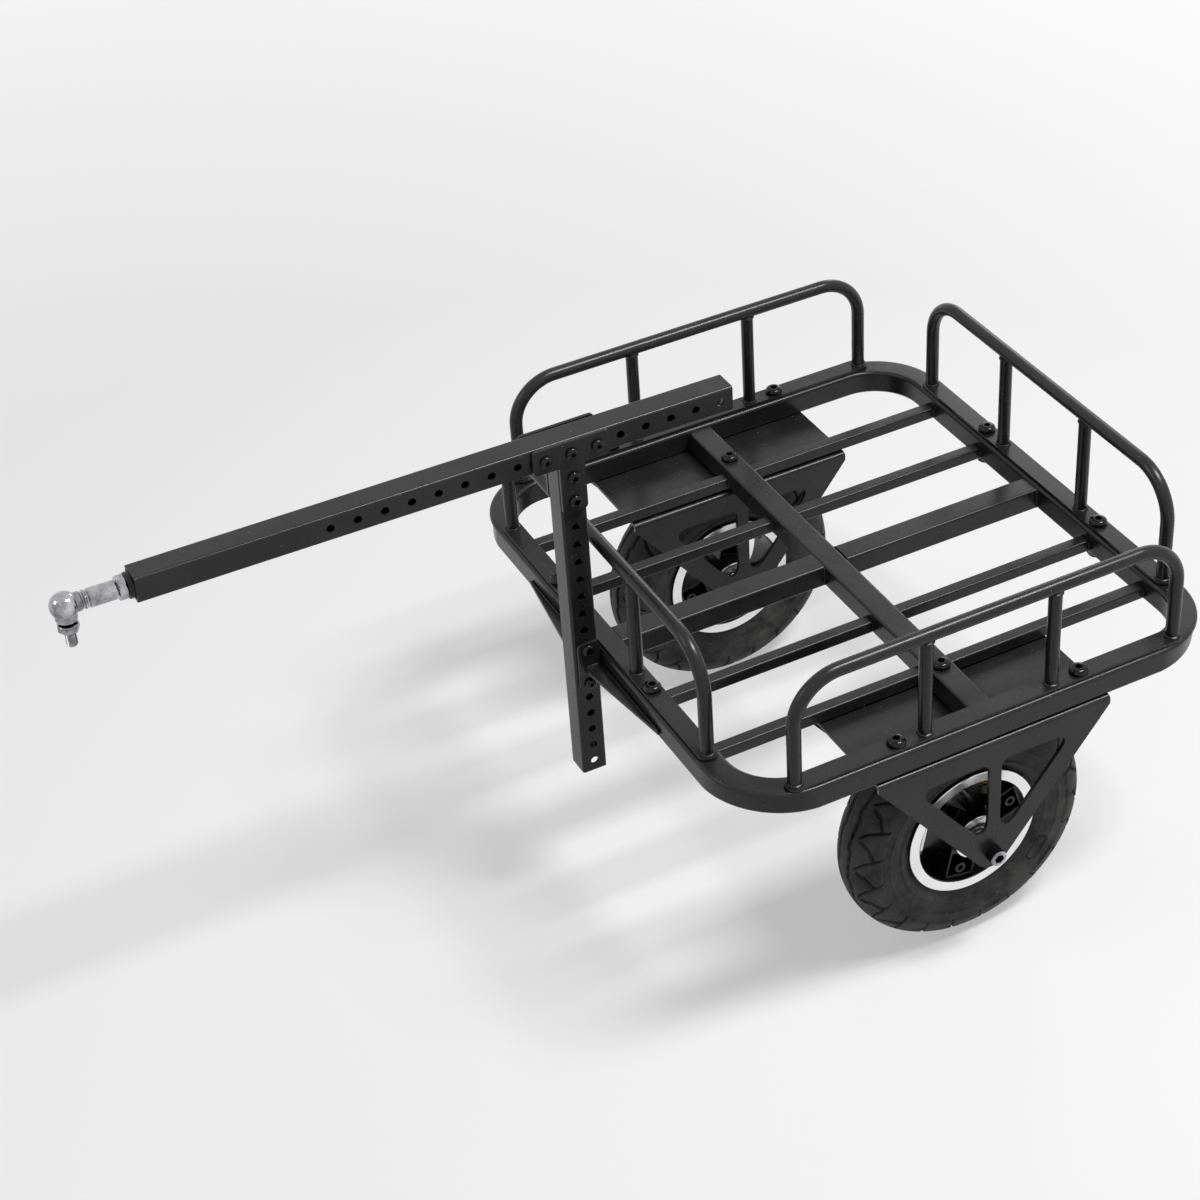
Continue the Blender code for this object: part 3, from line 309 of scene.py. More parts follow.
powder_coat = finish(
    "powder_coat", (0.012, 0.012, 0.0125), (0.020, 0.020, 0.0205), (0.22, 0.31), grain=0.000045,
    grain_scale=1100, specks=0.012, speck_colour=0.3, Specular_IOR_Level=0.3)
black_screw = finish(
    "black_screw", 0.003, 0.006, (0.04, 0.08), grain=0.000004, Specular_IOR_Level=0.27)
rubber = finish(
    "rubber", 0.004, (0.095, 0.093, 0.091), (0.40, 0.75), grain=0.00016, grain_scale=700,
    specks=0.02, speck_colour=(0.16, 0.155, 0.15), mottle_scale=42, Specular_IOR_Level=0.2)
rim_paint = finish(
    "rim_paint", 0.004, 0.009, (0.20, 0.30), grain=0.00005, grain_scale=600, specks=0.015,
    speck_colour=0.12, Specular_IOR_Level=0.3)
machined = finish(
    "machined", (0.78, 0.78, 0.79), (0.9, 0.9, 0.91), (0.2, 0.34), grain=0.00002, grain_scale=1500,
    Metallic=1.0)
# The zinc's dark shade and the strong mottle between its two shades are painted reflection of dark
# surroundings, laid over the plating's own uneven tone.
zinc = finish(
    "zinc", (0.16, 0.16, 0.17), (0.50, 0.50, 0.52), (0.05, 0.14), grain=0.00002, grain_scale=500,
    mottle_scale=110, Metallic=1.0)
bearing_steel = finish("bearing_steel", (0.5, 0.5, 0.51), (0.64, 0.64, 0.65), (0.2, 0.32), Metallic=1.0)
seal_rubber = finish("seal_rubber", 0.01, 0.016, (0.45, 0.55))
brass = finish("brass", (0.28, 0.17, 0.06), (0.46, 0.31, 0.12), (0.24, 0.4), Metallic=1.0)
print("finishes:", ", ".join(m.name for m in bpy.data.materials))

# %% [markdown]
# ## A small set of tools
# Every tube here is a section that is pushed straight and bent round a centre, as a bending
# machine does it. Round pieces are a profile spun about an axis, and plates are a flat face whose
# corners are rounded before it gets its thickness.

# %% Sections, pushes and bends


def turn(degrees, axis="Z"):
    return Matrix.Rotation(math.radians(degrees), 4, axis)


def shift(x=0.0, y=0.0, z=0.0):
    return Matrix.Translation((x, y, z))


def verts_of(edges):
    return list(dict.fromkeys(v for e in edges for v in e.verts))


def made_edges(made):
    return [g for g in made if isinstance(g, bmesh.types.BMEdge)]


def made_verts(made):
    return [g for g in made if isinstance(g, bmesh.types.BMVert)]


def round_corners(bm, verts, offset, steps):
    bmesh.ops.bevel(bm, geom=verts, offset=offset, offset_type="OFFSET", segments=steps,
                    profile=0.5, affect="VERTICES", material=-1)


def soften(bm, edges, offset, steps=2):
    bmesh.ops.bevel(bm, geom=edges, offset=offset, offset_type="OFFSET", segments=steps,
                    profile=0.5, affect="EDGES", material=-1, clamp_overlap=True)


def section(bm, width, height, radius, steps, matrix=Matrix.Identity(4)):
    """The rounded outline of a square tube, as loose edges."""
    others = set(bm.faces)
    verts = bmesh.ops.create_grid(bm, x_segments=1, y_segments=1, size=0.5)["verts"]
    bmesh.ops.scale(bm, vec=(width, height, 1), verts=verts)
    round_corners(bm, verts, radius, steps)
    face = [f for f in bm.faces if f not in others]
    edges = list(face[0].edges)
    bmesh.ops.delete(bm, geom=face, context="FACES_ONLY")
    bmesh.ops.transform(bm, matrix=matrix, verts=verts_of(edges))
    return edges


def ring(bm, radius, count, matrix):
    made = bmesh.ops.create_circle(bm, cap_ends=False, segments=count, radius=radius, matrix=matrix)
    return list(dict.fromkeys(e for v in made["verts"] for e in v.link_edges))


def push(bm, edges, vector):
    """Extrudes a section along a straight line."""
    edges = made_edges(bmesh.ops.extrude_edge_only(bm, edges=edges)["geom"])
    bmesh.ops.translate(bm, verts=verts_of(edges), vec=vector)
    return edges


def bend(bm, edges, centre, axis, degrees, steps):
    """Carries a section round a centre."""
    made = bmesh.ops.spin(bm, geom=verts_of(edges) + edges, cent=centre, axis=axis,
                          angle=math.radians(degrees), steps=steps)["geom_last"]
    return made_edges(made)


def cylinder(bm, segments, radius, depth, matrix):
    bmesh.ops.create_cone(bm, cap_ends=True, segments=segments, radius1=radius, radius2=radius,
                          depth=depth, matrix=matrix)


def turned(bm, profile, steps, closed=False):
    """Spins a profile of (radius, height) about Z."""
    verts = [bm.verts.new((radius, 0, height)) for radius, height in profile]
    edges = [bm.edges.new(pair) for pair in zip(verts, verts[1:])]
    if closed:
        edges.append(bm.edges.new((verts[-1], verts[0])))
    bmesh.ops.spin(bm, geom=verts + edges, cent=(0, 0, 0), axis=(0, 0, 1),
                   angle=2 * math.pi, steps=steps, use_merge=True)


print("section tools ready")

# %% Whole meshes from them


def as_mesh(bm):
    bmesh.ops.remove_doubles(bm, verts=bm.verts, dist=1e-4)
    bmesh.ops.recalc_face_normals(bm, faces=bm.faces)
    mesh = bpy.data.meshes.new("piece")
    bm.to_mesh(mesh)
    bm.free()
    return mesh


def spun(steps, *profiles, closed=False):
    """A mesh of one or more turned profiles."""
    bm = bmesh.new()
    for profile in profiles:
        turned(bm, profile, steps, closed)
    return as_mesh(bm)


def mirrored(half, *middle):
    """A profile whose lower half mirrors this upper one."""
    return [*half, *middle, *((radius, -height) for radius, height in reversed(half))]


def plate(corners, thickness, radii, steps, edge=0.0):
    """A plate on the XY plane: a face from its corners, rounded, then given its thickness."""
    bm = bmesh.new()
    verts = [bm.verts.new((u, v, 0)) for u, v in corners]
    bm.faces.new(verts)
    offsets = []
    for i, radius in enumerate(radii):
        before = verts[i - 1].co - verts[i].co
        after = verts[(i + 1) % len(verts)].co - verts[i].co
        half = before.angle(after) / 2
        # A bevel's curve is flatter than a true arc on a sharp corner, so it starts further out.
        true_depth = radius / math.sin(half) - radius
        offsets.append(true_depth / ((2 - math.sqrt(2)) * math.cos(half)) if radius else 0)
    for vert, offset in zip(verts, offsets):
        if offset:
            round_corners(bm, [vert], offset, steps)
    made = bmesh.ops.extrude_face_region(bm, geom=bm.faces[:])["geom"]
    bmesh.ops.translate(bm, verts=made_verts(made), vec=(0, 0, thickness))
    bmesh.ops.recalc_face_normals(bm, faces=bm.faces)
    if edge:
        soften(bm, [e for e in bm.edges if abs(e.verts[0].co.z - e.verts[1].co.z) < 1e-6], edge)
    return as_mesh(bm)


def close_ends(bm):
    bmesh.ops.holes_fill(bm, edges=[e for e in bm.edges if len(e.link_faces) == 1], sides=0)


def add_copy(bm, mesh, matrix):
    """Adds a finished mesh to another one, in its place."""
    copy = mesh.copy()
    copy.transform(matrix)
    bm.from_mesh(copy)
    bpy.data.meshes.remove(copy)


def cut(mesh, tools, operation="DIFFERENCE"):
    """The mesh with each tool cut from it, joined to it or kept to it, as a new mesh."""
    body = add_object("body", mesh)
    helpers = [body]
    for tool in tools:
        helpers.append(add_object("tool", tool))
        modifier = body.modifiers.new("cut", "BOOLEAN")
        modifier.object = helpers[-1]
        modifier.operation = operation
        modifier.solver = "EXACT"
    graph = bpy.context.evaluated_depsgraph_get()
    result = bpy.data.meshes.new_from_object(body.evaluated_get(graph))
    for helper in helpers:
        bpy.data.objects.remove(helper)
    return result


print("mesh tools ready")

# %% Pieces on their bodies


def piece(name, mesh, matrix, look, slot, nodes=(), body="trailer", sharp=35, flat_faces=False):
    """Places a mesh, gives it its finish, and hands it to the body that it moves with."""
    mesh = mesh.copy()
    mesh.transform(matrix)
    if matrix.is_negative:
        mesh.flip_normals()
    mesh.materials.clear()
    for finish_of_slot in look if isinstance(look, (list, tuple)) else [look]:
        mesh.materials.append(finish_of_slot)
    mesh.shade_smooth()
    mesh.set_sharp_from_angle(angle=math.radians(sharp))
    obj = add_object(name, mesh)
    if flat_faces:
        obj.modifiers.new("flat_faces", "WEIGHTED_NORMAL").keep_sharp = True
    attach(obj, body)
    if nodes:
        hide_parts(*nodes)
    return obj


def coated(name, mesh, matrix, node, sharp=40):
    """A piece of the powder-coated frame."""
    return piece(name, mesh, matrix, powder_coat, "powder_coat", [node], sharp=sharp, flat_faces=True)


print("piece tools ready")

# %% [markdown]
# ## The deck's tube
# The real tube is bent cold from one length, so its section stays square with soft edges while
# the outer wall sinks in a little at each bend and leaves a fine lip along the top edge. The
# section is carried along four straight runs and round four bends. Two plane cuts then give the
# lip an edge of its own, and the wall under it is drawn in where the bends are.

# %% Deck tube
TUBE, TUBE_EDGE = 20.0, 2.8
HALF_WIDTH = size_of("deck_frame").x / 2
HALF_LENGTH = size_of("deck_frame").y / 2
CORNER = 60.0
SAG, LIP = 2.5, -3.5
SIDE_X = HALF_WIDTH - TUBE / 2
END_Y = HALF_LENGTH - TUBE / 2
RUN_X = HALF_WIDTH - CORNER
RUN_Y = HALF_LENGTH - CORNER

bm = bmesh.new()
loop = section(bm, TUBE, TUBE, TUBE_EDGE, 5, shift(SIDE_X, -RUN_Y, -TUBE / 2) @ turn(90, "X"))
for x, y, run in ((RUN_X, RUN_Y, (0, 2 * RUN_Y, 0)), (-RUN_X, RUN_Y, (-2 * RUN_X, 0, 0)),
                  (-RUN_X, -RUN_Y, (0, -2 * RUN_Y, 0)), (RUN_X, -RUN_Y, (2 * RUN_X, 0, 0))):
    loop = push(bm, loop, run)
    loop = bend(bm, loop, (x, y, -TUBE / 2), (0, 0, 1), 90, 20)
bmesh.ops.remove_doubles(bm, verts=bm.verts, dist=1e-3)
for lip_z in (LIP + 0.4, LIP - 0.4):
    bmesh.ops.bisect_plane(bm, geom=bm.verts[:] + bm.edges[:] + bm.faces[:], dist=1e-4,
                           plane_co=(0, 0, lip_z), plane_no=(0, 0, 1))
for v in bm.verts:
    over_x, over_y = abs(v.co.x) - RUN_X, abs(v.co.y) - RUN_Y
    reach = math.hypot(over_x, over_y)
    if over_x > 0 and over_y > 0 and v.co.z < LIP and reach > CORNER - TUBE / 2:
        share = min((reach - CORNER + TUBE / 2) / (TUBE / 2 - TUBE_EDGE), 1)
        pull = 1 - SAG * share * math.sin(2 * math.atan2(over_y, over_x)) / reach
        v.co.x = math.copysign(RUN_X + over_x * pull, v.co.x)
        v.co.y = math.copysign(RUN_Y + over_y * pull, v.co.y)
coated("deck_tube", as_mesh(bm), DECK, "deck_frame", sharp=50)
print("deck tube", round(2 * HALF_WIDTH), "x", round(2 * HALF_LENGTH), "mm")

# %% [markdown]
# ## Bars across the deck
# A wide beam runs from side to side and ten bars run along the trailer. Each is a square tube
# with softly rounded edges whose ends butt against the next tube, so a closed bar of the same
# outside shape looks the same. Each one fills its solid's box.

# %% Bars
BEAM_EDGE, WIDE_BAR_EDGE, THIN_BAR_EDGE = 2.2, 2.0, 1.5


def bar_like(node, radius, along):
    """A closed bar with rounded edges that fills this node's box."""
    size = size_of(node)
    bm = bmesh.new()
    if along == "X":
        loop = section(bm, size.z, size.y, radius, 4, turn(90, "Y") @ shift(0, 0, -size.x / 2))
        push(bm, loop, (size.x, 0, 0))
    else:
        loop = section(bm, size.x, size.z, radius, 4, turn(-90, "X") @ shift(0, 0, -size.y / 2))
        push(bm, loop, (0, size.y, 0))
    close_ends(bm)
    return coated(f"{node}_bar", as_mesh(bm), frame_at(middle_of(node)), node, sharp=35)


bar_like("cross_beam", BEAM_EDGE, "X")
SLATS = [f"{end}_slat_{spot}" for end in ("front", "rear")
         for spot in ("left_outer", "left_inner", "middle", "right_inner", "right_outer")]
for node in SLATS:
    bar_like(node, WIDE_BAR_EDGE if "middle" in node else THIN_BAR_EDGE, "Y")
print(len(SLATS), "bars and the beam")

# %% [markdown]
# ## Rails and welds
# Each rail is one bent round bar with two posts under it, welded to a flat strip with round
# ends. The bar is a circle pushed up, bent, pushed across, bent and pushed down. All four rails
# are the same mesh, turned to its side of the deck. A weld is a bead whose ripples differ: it
# goes round each leg and post, and along both corners of each bar's end.

# %% Beads of weld


def weld_ring(bm, x, z, radius, size, seed):
    """A bead of weld round a bar: a thick ring whose ripples differ a little."""
    rng = random.Random(seed)
    start = len(bm.verts)
    steps = 26
    loop = ring(bm, size, 7, shift(radius, 0, 0) @ turn(90, "X"))
    bend(bm, loop, (0, 0, 0), (0, 0, 1), 360, steps)
    bm.verts.ensure_lookup_table()
    fresh = [bm.verts[i] for i in range(start, len(bm.verts))]
    ripple = [rng.uniform(-0.12, 0.16) * size for _ in range(steps)]
    for v in fresh:
        place_on_ring = round(math.degrees(math.atan2(v.co.y, v.co.x)) / 360 * steps) % steps
        v.co += Vector((v.co.x, v.co.y, 0)).normalized() * ripple[place_on_ring]
    bmesh.ops.transform(bm, matrix=shift(x, 0, z), verts=fresh)


def weld_line(bm, start, end, size, seed):
    """A straight bead of weld: a thin bar whose ripples differ a little."""
    rng = random.Random(seed)
    start, end = Vector(start), Vector(end)
    along = end - start
    steps = max(3, int(along.length / (size * 0.8)))
    square_on = along.to_track_quat("Z", "X").to_matrix().to_4x4()
    loop = ring(bm, size * 0.5, 7, Matrix.Translation(start) @ square_on)
    bmesh.ops.contextual_create(bm, geom=loop)
    for i in range(steps):
        wide = size * (0.5 if i == steps - 1 else rng.uniform(0.86, 1.12))
        loop = push(bm, loop, along / steps)
        verts = verts_of(loop)
        middle = sum((v.co for v in verts), Vector()) / len(verts)
        now = (verts[0].co - middle).length
        bmesh.ops.scale(bm, vec=(wide / now,) * 3, verts=verts, space=Matrix.Translation(-middle))
    bmesh.ops.contextual_create(bm, geom=loop)


print("weld tools ready")

# %% Rails
STRIP_BASE, STRIP, STRIP_WIDTH = 0.3, 2.4, 15.0
STRIP_TOP = STRIP_BASE + STRIP
RAIL_SPAN = size_of("front_rail").x - STRIP_WIDTH
RAIL_R = 10.5 / 2
RAIL_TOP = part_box("front_rail")[1].z / MM - DECK.translation.z / MM - RAIL_R
RAIL_BEND = 36.0
RAIL_POST_X, RAIL_POST_R = 52.9, 5.04
FOOT_Z = STRIP_BASE + 1
LEG = RAIL_TOP - RAIL_BEND - FOOT_Z

bm = bmesh.new()
loop = push(bm, ring(bm, RAIL_R, 24, shift(RAIL_SPAN / 2, 0, FOOT_Z)), (0, 0, LEG))
for side, run in ((1, (2 * RAIL_BEND - RAIL_SPAN, 0, 0)), (-1, (0, 0, -LEG))):
    centre = (side * (RAIL_SPAN / 2 - RAIL_BEND), 0, RAIL_TOP - RAIL_BEND)
    loop = push(bm, bend(bm, loop, centre, (0, -1, 0), 90, 16), run)
for x in (-RAIL_POST_X, RAIL_POST_X):
    push(bm, ring(bm, RAIL_POST_R, 24, shift(x, 0, FOOT_Z)), (0, 0, RAIL_TOP - FOOT_Z))
close_ends(bm)
for i, x in enumerate((-RAIL_SPAN / 2, -RAIL_POST_X, RAIL_POST_X, RAIL_SPAN / 2)):
    weld_ring(bm, x, STRIP_TOP + 0.2, RAIL_R - 0.1, 1.15, i)
    if abs(x) == RAIL_POST_X:
        weld_ring(bm, x, RAIL_TOP - RAIL_R + 0.3, RAIL_R - 0.6, 1.3, i + 9)
half, half_w = (RAIL_SPAN + STRIP_WIDTH) / 2, STRIP_WIDTH / 2
strip = plate([(-half, -half_w), (half, -half_w), (half, half_w), (-half, half_w)], STRIP,
              [half_w - 0.01] * 4, 10, 0.5)
add_copy(bm, strip, shift(z=STRIP_BASE))
rail_mesh = as_mesh(bm)
for side, spot, degrees in (("left", shift(SIDE_X), 90), ("right", shift(-SIDE_X), -90),
                            ("front", shift(0, -END_Y), 0), ("rear", shift(0, END_Y), 180)):
    coated(f"{side}_rail_bent", rail_mesh, DECK @ spot @ turn(degrees), f"{side}_rail")
print("rail", round(RAIL_SPAN), "mm between its legs,", len(rail_mesh.polygons), "faces")

# %% Welds at the bars' ends
bm = bmesh.new()
for i, node in enumerate(["cross_beam", *SLATS]):
    low, high = ((corner - DECK.translation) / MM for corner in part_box(node))
    out_x, out_y = (0.1, 0) if node == "cross_beam" else (0, 0.1)
    corners = [(x, y) for x in (low.x - out_x, high.x + out_x) for y in (low.y - out_y, high.y + out_y)]
    for j, (x, y) in enumerate(corners):
        weld_line(bm, (x, y, low.z + 1.2), (x, y, high.z - 1.2), 0.9, 10 * i + j)
piece("deck_welds", as_mesh(bm), DECK, powder_coat, "powder_coat", sharp=60)
print("welds at", len(SLATS) + 1, "bars")

# %% [markdown]
# ## Screws
# A button head is a dome with a six-sided socket. The dome is a spun profile, and the socket's
# hexagon is bridged to the dome's open middle and pushed down. The nut is a short six-sided bar
# whose corners are trimmed by a disc with sloping edges, as a lathe does it.

# %% Heads, sockets and nuts


def hex_socket(bm, height, reach, key, depth):
    """Closes the open circle at the top of a head with a hexagon that goes down into it."""
    ring(bm, key / math.sqrt(3), 6, shift(0, 0, height))
    loops = [e for e in bm.edges if len(e.link_faces) < 2
             and all(abs(v.co.z - height) < 1e-4 and v.co.xy.length < reach + 0.01 for v in e.verts)]
    bmesh.ops.bridge_loops(bm, edges=loops)
    mouth = [e for e in bm.edges if len(e.link_faces) == 1
             and all(abs(v.co.z - height) < 1e-4 for v in e.verts)]
    bmesh.ops.holes_fill(bm, edges=push(bm, mouth, (0, 0, -depth)), sides=0)


def dome(radius, height, flat):
    """From the flat top of a button head down to its rim."""
    lip = height * 0.22
    angles = [math.radians(15 * i) for i in range(7)]
    return [(flat + (radius - flat) * math.sin(a), lip + (height - lip) * math.cos(a)) for a in angles]


def nut(width, height):
    """A six-sided bar with trimmed corners. Its top is at 0."""
    corner, top = width / math.sqrt(3), width * 0.49
    bm = bmesh.new()
    cylinder(bm, 6, corner, height, shift(0, 0, -height / 2))
    disc = spun(48, [(0, 0), (top, 0), (corner + 0.1, -height * 0.17), (corner + 0.1, -height * 0.83),
                     (top, -height), (0, -height)])
    return cut(as_mesh(bm), [disc], "INTERSECT")


def screw(radius, height, flat, key, depth, shank, grip, nut_width, nut_height, cap=False):
    """A button head, or a cap head with straight sides, and its nut. The head's seat is at 0."""
    bm = bmesh.new()
    socket = key / math.sqrt(3) * 1.12
    if cap:
        outline = [(radius - 0.7, height), (radius, height - 0.7), (radius, 0.25), (radius - 0.25, 0)]
    else:
        outline = [*dome(radius, height, flat), (radius - 0.2, 0)]
    turned(bm, [(socket, height), *outline, (shank, 0), (shank, -grip), (0, -grip)], 36)
    hex_socket(bm, height, socket, key, depth)
    add_copy(bm, nut(nut_width, nut_height), shift(0, 0, -grip))
    bmesh.ops.create_cone(bm, cap_ends=True, segments=24, radius1=shank - 0.3, radius2=shank, depth=0.3,
                          matrix=shift(0, 0, -grip - nut_height + 0.15))
    return as_mesh(bm)


print("screw tools ready")

# %% Screws through the deck
GAP, SHEET = 0.3, 3.0
BEAM_DROP = 1.7
UNDER_DECK = TUBE + GAP
UNDER_BRACKET = UNDER_DECK + SHEET + GAP
RAIL_HEAD_Z = 2 * GAP + STRIP
BEAM_HEAD_Z = GAP - BEAM_DROP
M8 = dict(radius=7, height=4.4, flat=3.6, key=5, depth=2.6, shank=4, nut_width=13, nut_height=5.5)
short_screw = screw(grip=RAIL_HEAD_Z + UNDER_DECK, **M8)
long_screw = screw(grip=RAIL_HEAD_Z + UNDER_BRACKET, **M8)
beam_screw = screw(grip=BEAM_HEAD_Z + UNDER_BRACKET, **M8)
rng = random.Random(4)
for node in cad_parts:
    if "_rail_bolt_" in node or node.endswith("_beam_bolt"):
        mesh, head_z = short_screw, RAIL_HEAD_Z
        if node.startswith(("left_rail", "right_rail")):
            mesh = long_screw
        elif "beam" in node:
            mesh, head_z = beam_screw, BEAM_HEAD_Z
        middle = middle_of(node)
        middle.z = DECK.translation.z + head_z * MM
        piece(f"{node}_screw", mesh, frame_at(middle) @ turn(rng.uniform(0, 60)), black_screw, "black_steel",
              [node], sharp=30)
print("deck screws,", len(short_screw.polygons), "faces each")

# %% [markdown]
# ## Wheel brackets
# A bracket is one sheet, cut flat with its windows and then folded to an upside-down U. Folding
# a sheet with holes would need its unrolled shape. Here the fold comes first: an edge is pushed
# up, bent over, pushed across and down, and the surface gets its thickness. The side view, a
# plate with the same outline, is then kept from it, and the windows are cut from it.

# %% The folded channel
BRACKET_WIDTH = size_of("left_wheel_bracket").x
BRACKET_LENGTH = size_of("left_wheel_bracket").y
BRACKET_TOP = -UNDER_DECK
AXLE_DROP = (DECK.translation.z - middle_of("left_tyre").z) / MM
TIP_RADIUS, SKIRT, BEND_RADIUS = 14.0, 7.0, 3.5

half_w = BRACKET_WIDTH / 2
depth = AXLE_DROP + 2 * TIP_RADIUS + BRACKET_TOP
bm = bmesh.new()
start = [bm.verts.new((half_w, end * BRACKET_LENGTH * 0.6, BRACKET_TOP - depth)) for end in (-1, 1)]
loop = push(bm, [bm.edges.new(start)], (0, 0, depth - BEND_RADIUS))
for side, run in ((1, (-2 * (half_w - BEND_RADIUS), 0, 0)), (-1, (0, 0, BEND_RADIUS - depth))):
    centre = (side * (half_w - BEND_RADIUS), 0, BRACKET_TOP - BEND_RADIUS)
    loop = push(bm, bend(bm, loop, centre, (0, -1, 0), 90, 8), run)
bmesh.ops.recalc_face_normals(bm, faces=bm.faces)
if bm.faces[:][0].normal.x < 0:
    bmesh.ops.reverse_faces(bm, faces=bm.faces)
bmesh.ops.solidify(bm, geom=bm.faces[:], thickness=SHEET)
channel = as_mesh(bm)
print("channel", round(BRACKET_WIDTH), "mm wide")

# %% Its outline and windows
WINDOW_TOP, WINDOW_BAR, WINDOW_ARM, WINDOW_FILLET = -40.2, 5.2, 16.4, 6.5
half_l = BRACKET_LENGTH / 2
axle = Vector((0, -AXLE_DROP))
shoulder = Vector((half_l, BRACKET_TOP - SKIRT))
towards = shoulder - axle
lean = math.atan2(towards.y, towards.x) + math.asin(TIP_RADIUS / towards.length)
normal = Vector((math.sin(lean), -math.cos(lean)))
apex = (0, axle.y + TIP_RADIUS / normal.y)
above = 10
side_view = plate([(-half_l, above), (-half_l, shoulder.y), apex, (half_l, shoulder.y), (half_l, above)],
                  BRACKET_WIDTH * 1.3, [0, 0, TIP_RADIUS, 0, 0], 20)
inner = TIP_RADIUS - WINDOW_ARM
low = (WINDOW_BAR, axle.y + (normal.x * WINDOW_BAR - inner) / -normal.y)
far = ((inner - normal.y * (WINDOW_TOP - axle.y)) / normal.x, WINDOW_TOP)
windows = [plate([(side * u, v) for u, v in ((WINDOW_BAR, WINDOW_TOP), low, far)], BRACKET_WIDTH * 1.4,
                 [WINDOW_FILLET] * 3, 12) for side in (1, -1)]
side_on = shift(-BRACKET_WIDTH * 0.65, 0, 0) @ turn(90, "Z") @ turn(90, "X")
for mesh in (side_view, *windows):
    mesh.transform(side_on)
bm = bmesh.new()
bm.from_mesh(cut(cut(channel, [side_view], "INTERSECT"), windows))
bmesh.ops.remove_doubles(bm, verts=bm.verts, dist=1e-3)
bmesh.ops.dissolve_limit(bm, angle_limit=math.radians(1), verts=bm.verts, edges=bm.edges)
soften(bm, [e for e in bm.edges if e.is_manifold and e.calc_face_angle(0) > math.radians(50)], 0.35)
bracket_mesh = as_mesh(bm)
for side, sign in (("left", 1), ("right", -1)):
    coated(f"{side}_bracket", bracket_mesh, DECK @ shift(sign * WHEEL_X), f"{side}_wheel_bracket")
print("bracket", [round(s, 1) for s in size_of("left_wheel_bracket")], len(bracket_mesh.polygons), "faces")

# %% [markdown]
# ## Post, drawbar and their plates
# Both tubes are square, hollow and drilled, so one sees through their holes and into their ends.
# A ring between the outer and the inner section is pushed along to make the tube, and one
# row of cylinders is cut through both walls. The T-shaped plates and the feet are flat plates
# with rounded corners. Each foot has a gusset that is welded to it and to the deck's front.

# %% Drilled tubes
WALL = 1.5
HOLE = 6.2
FRONT, REAR = 318.0, 130.0
POST_HOLES = [9.1 + 15.56 * i for i in range(15)]
DRAWBAR_HOLES = [FRONT + 120 - 20 * i for i in range(16)]


def drilled_tube(length, holes):
    """A square tube along Z from 0, open at both ends, with holes at these heights."""
    bm = bmesh.new()
    section(bm, TUBE, TUBE, 2.0, 5)
    section(bm, TUBE - 2 * WALL, TUBE - 2 * WALL, 0.8, 5)
    end = bmesh.ops.bridge_loops(bm, edges=bm.edges[:])["faces"]
    made = bmesh.ops.extrude_face_region(bm, geom=end)["geom"]
    bmesh.ops.translate(bm, verts=made_verts(made), vec=(0, 0, length))
    drill = bmesh.new()
    for z in holes:
        cylinder(drill, 28, HOLE / 2, 3 * TUBE, shift(0, 0, z) @ turn(90, "Y"))
    return cut(as_mesh(bm), [as_mesh(drill)])


post_low, post_high = (corner.z / MM - DECK.translation.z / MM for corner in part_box("post"))
coated("post_tube", drilled_tube(post_high - post_low, POST_HOLES), DECK @ shift(0, POST_Y, post_low), "post")
coated("drawbar_tube", drilled_tube(FRONT + REAR, DRAWBAR_HOLES),
       DRAWBAR @ shift(0, -FRONT, 0) @ turn(-90, "X"), "drawbar")
print("post", round(post_high - post_low), "mm, drawbar", round(FRONT + REAR), "mm")

# %% Plates
PLATE_X = TUBE / 2 + GAP
PLATE_SIDES = (("left", 1, PLATE_X), ("right", -1, -PLATE_X - SHEET))
TEE_ARM, TEE_HALF, TEE_STEM = 30, 10, -49.3
FOOT_LENGTH, FOOT_BOTTOM, FOOT_TOP = 18, -33, 10
GUSSET_DEPTH, GUSSET_REACH, GUSSET_Z = 14, 95, -15
stand_side = turn(90, "Z") @ turn(90, "X")
pivot_z = (PIVOT.z - DECK.translation.z) / MM
tee_mesh = plate(
    [(-TEE_ARM, -TEE_HALF), (-TEE_HALF, -TEE_HALF), (-TEE_HALF, TEE_STEM), (TEE_HALF, TEE_STEM),
     (TEE_HALF, -TEE_HALF), (TEE_ARM, -TEE_HALF), (TEE_ARM, TEE_HALF), (-TEE_ARM, TEE_HALF)],
    SHEET, [3.5, 1.5, 3.5, 3.5, 1.5, 3.5, 3.5, 3.5], 6, 0.7)
for side, sign, x in PLATE_SIDES:
    coated(f"{side}_tee", tee_mesh, DECK @ shift(x, POST_Y, pivot_z) @ stand_side, f"{side}_tee_plate")

rear = -HALF_LENGTH - GAP
front = rear - FOOT_LENGTH
root, tip = PLATE_X + SHEET / 2, PLATE_X + GUSSET_REACH
foot = plate([(front, FOOT_BOTTOM), (rear, FOOT_BOTTOM), (rear, FOOT_TOP), (front, FOOT_TOP)], SHEET,
             [4, 1, 1, 4], 6, 0.7)
gusset = plate([(root, rear - GUSSET_DEPTH), (tip, rear - 1.5), (tip, rear), (root, rear)], SHEET,
               [0, 0.5, 0, 0], 4, 0.4)
for side, sign, x in PLATE_SIDES:
    bm = bmesh.new()
    add_copy(bm, foot, shift(x) @ stand_side)
    add_copy(bm, gusset, shift(0, 0, GUSSET_Z) @ Matrix.Diagonal((sign, 1, 1, 1)))
    beside = sign * (PLATE_X + SHEET + 0.2)
    for z, seed in ((GUSSET_Z - 0.1, 75), (GUSSET_Z + SHEET + 0.1, 79)):
        weld_line(bm, (beside, rear - 12.5, z), (beside, rear - 1, z), 1.2, seed)
        weld_line(bm, (beside, rear - 0.8, z), (sign * (tip - 1), rear - 0.8, z), 0.8, seed - 30)
    coated(f"{side}_foot", as_mesh(bm), DECK, f"{side}_post_foot")
print("two T-shaped plates and two feet")

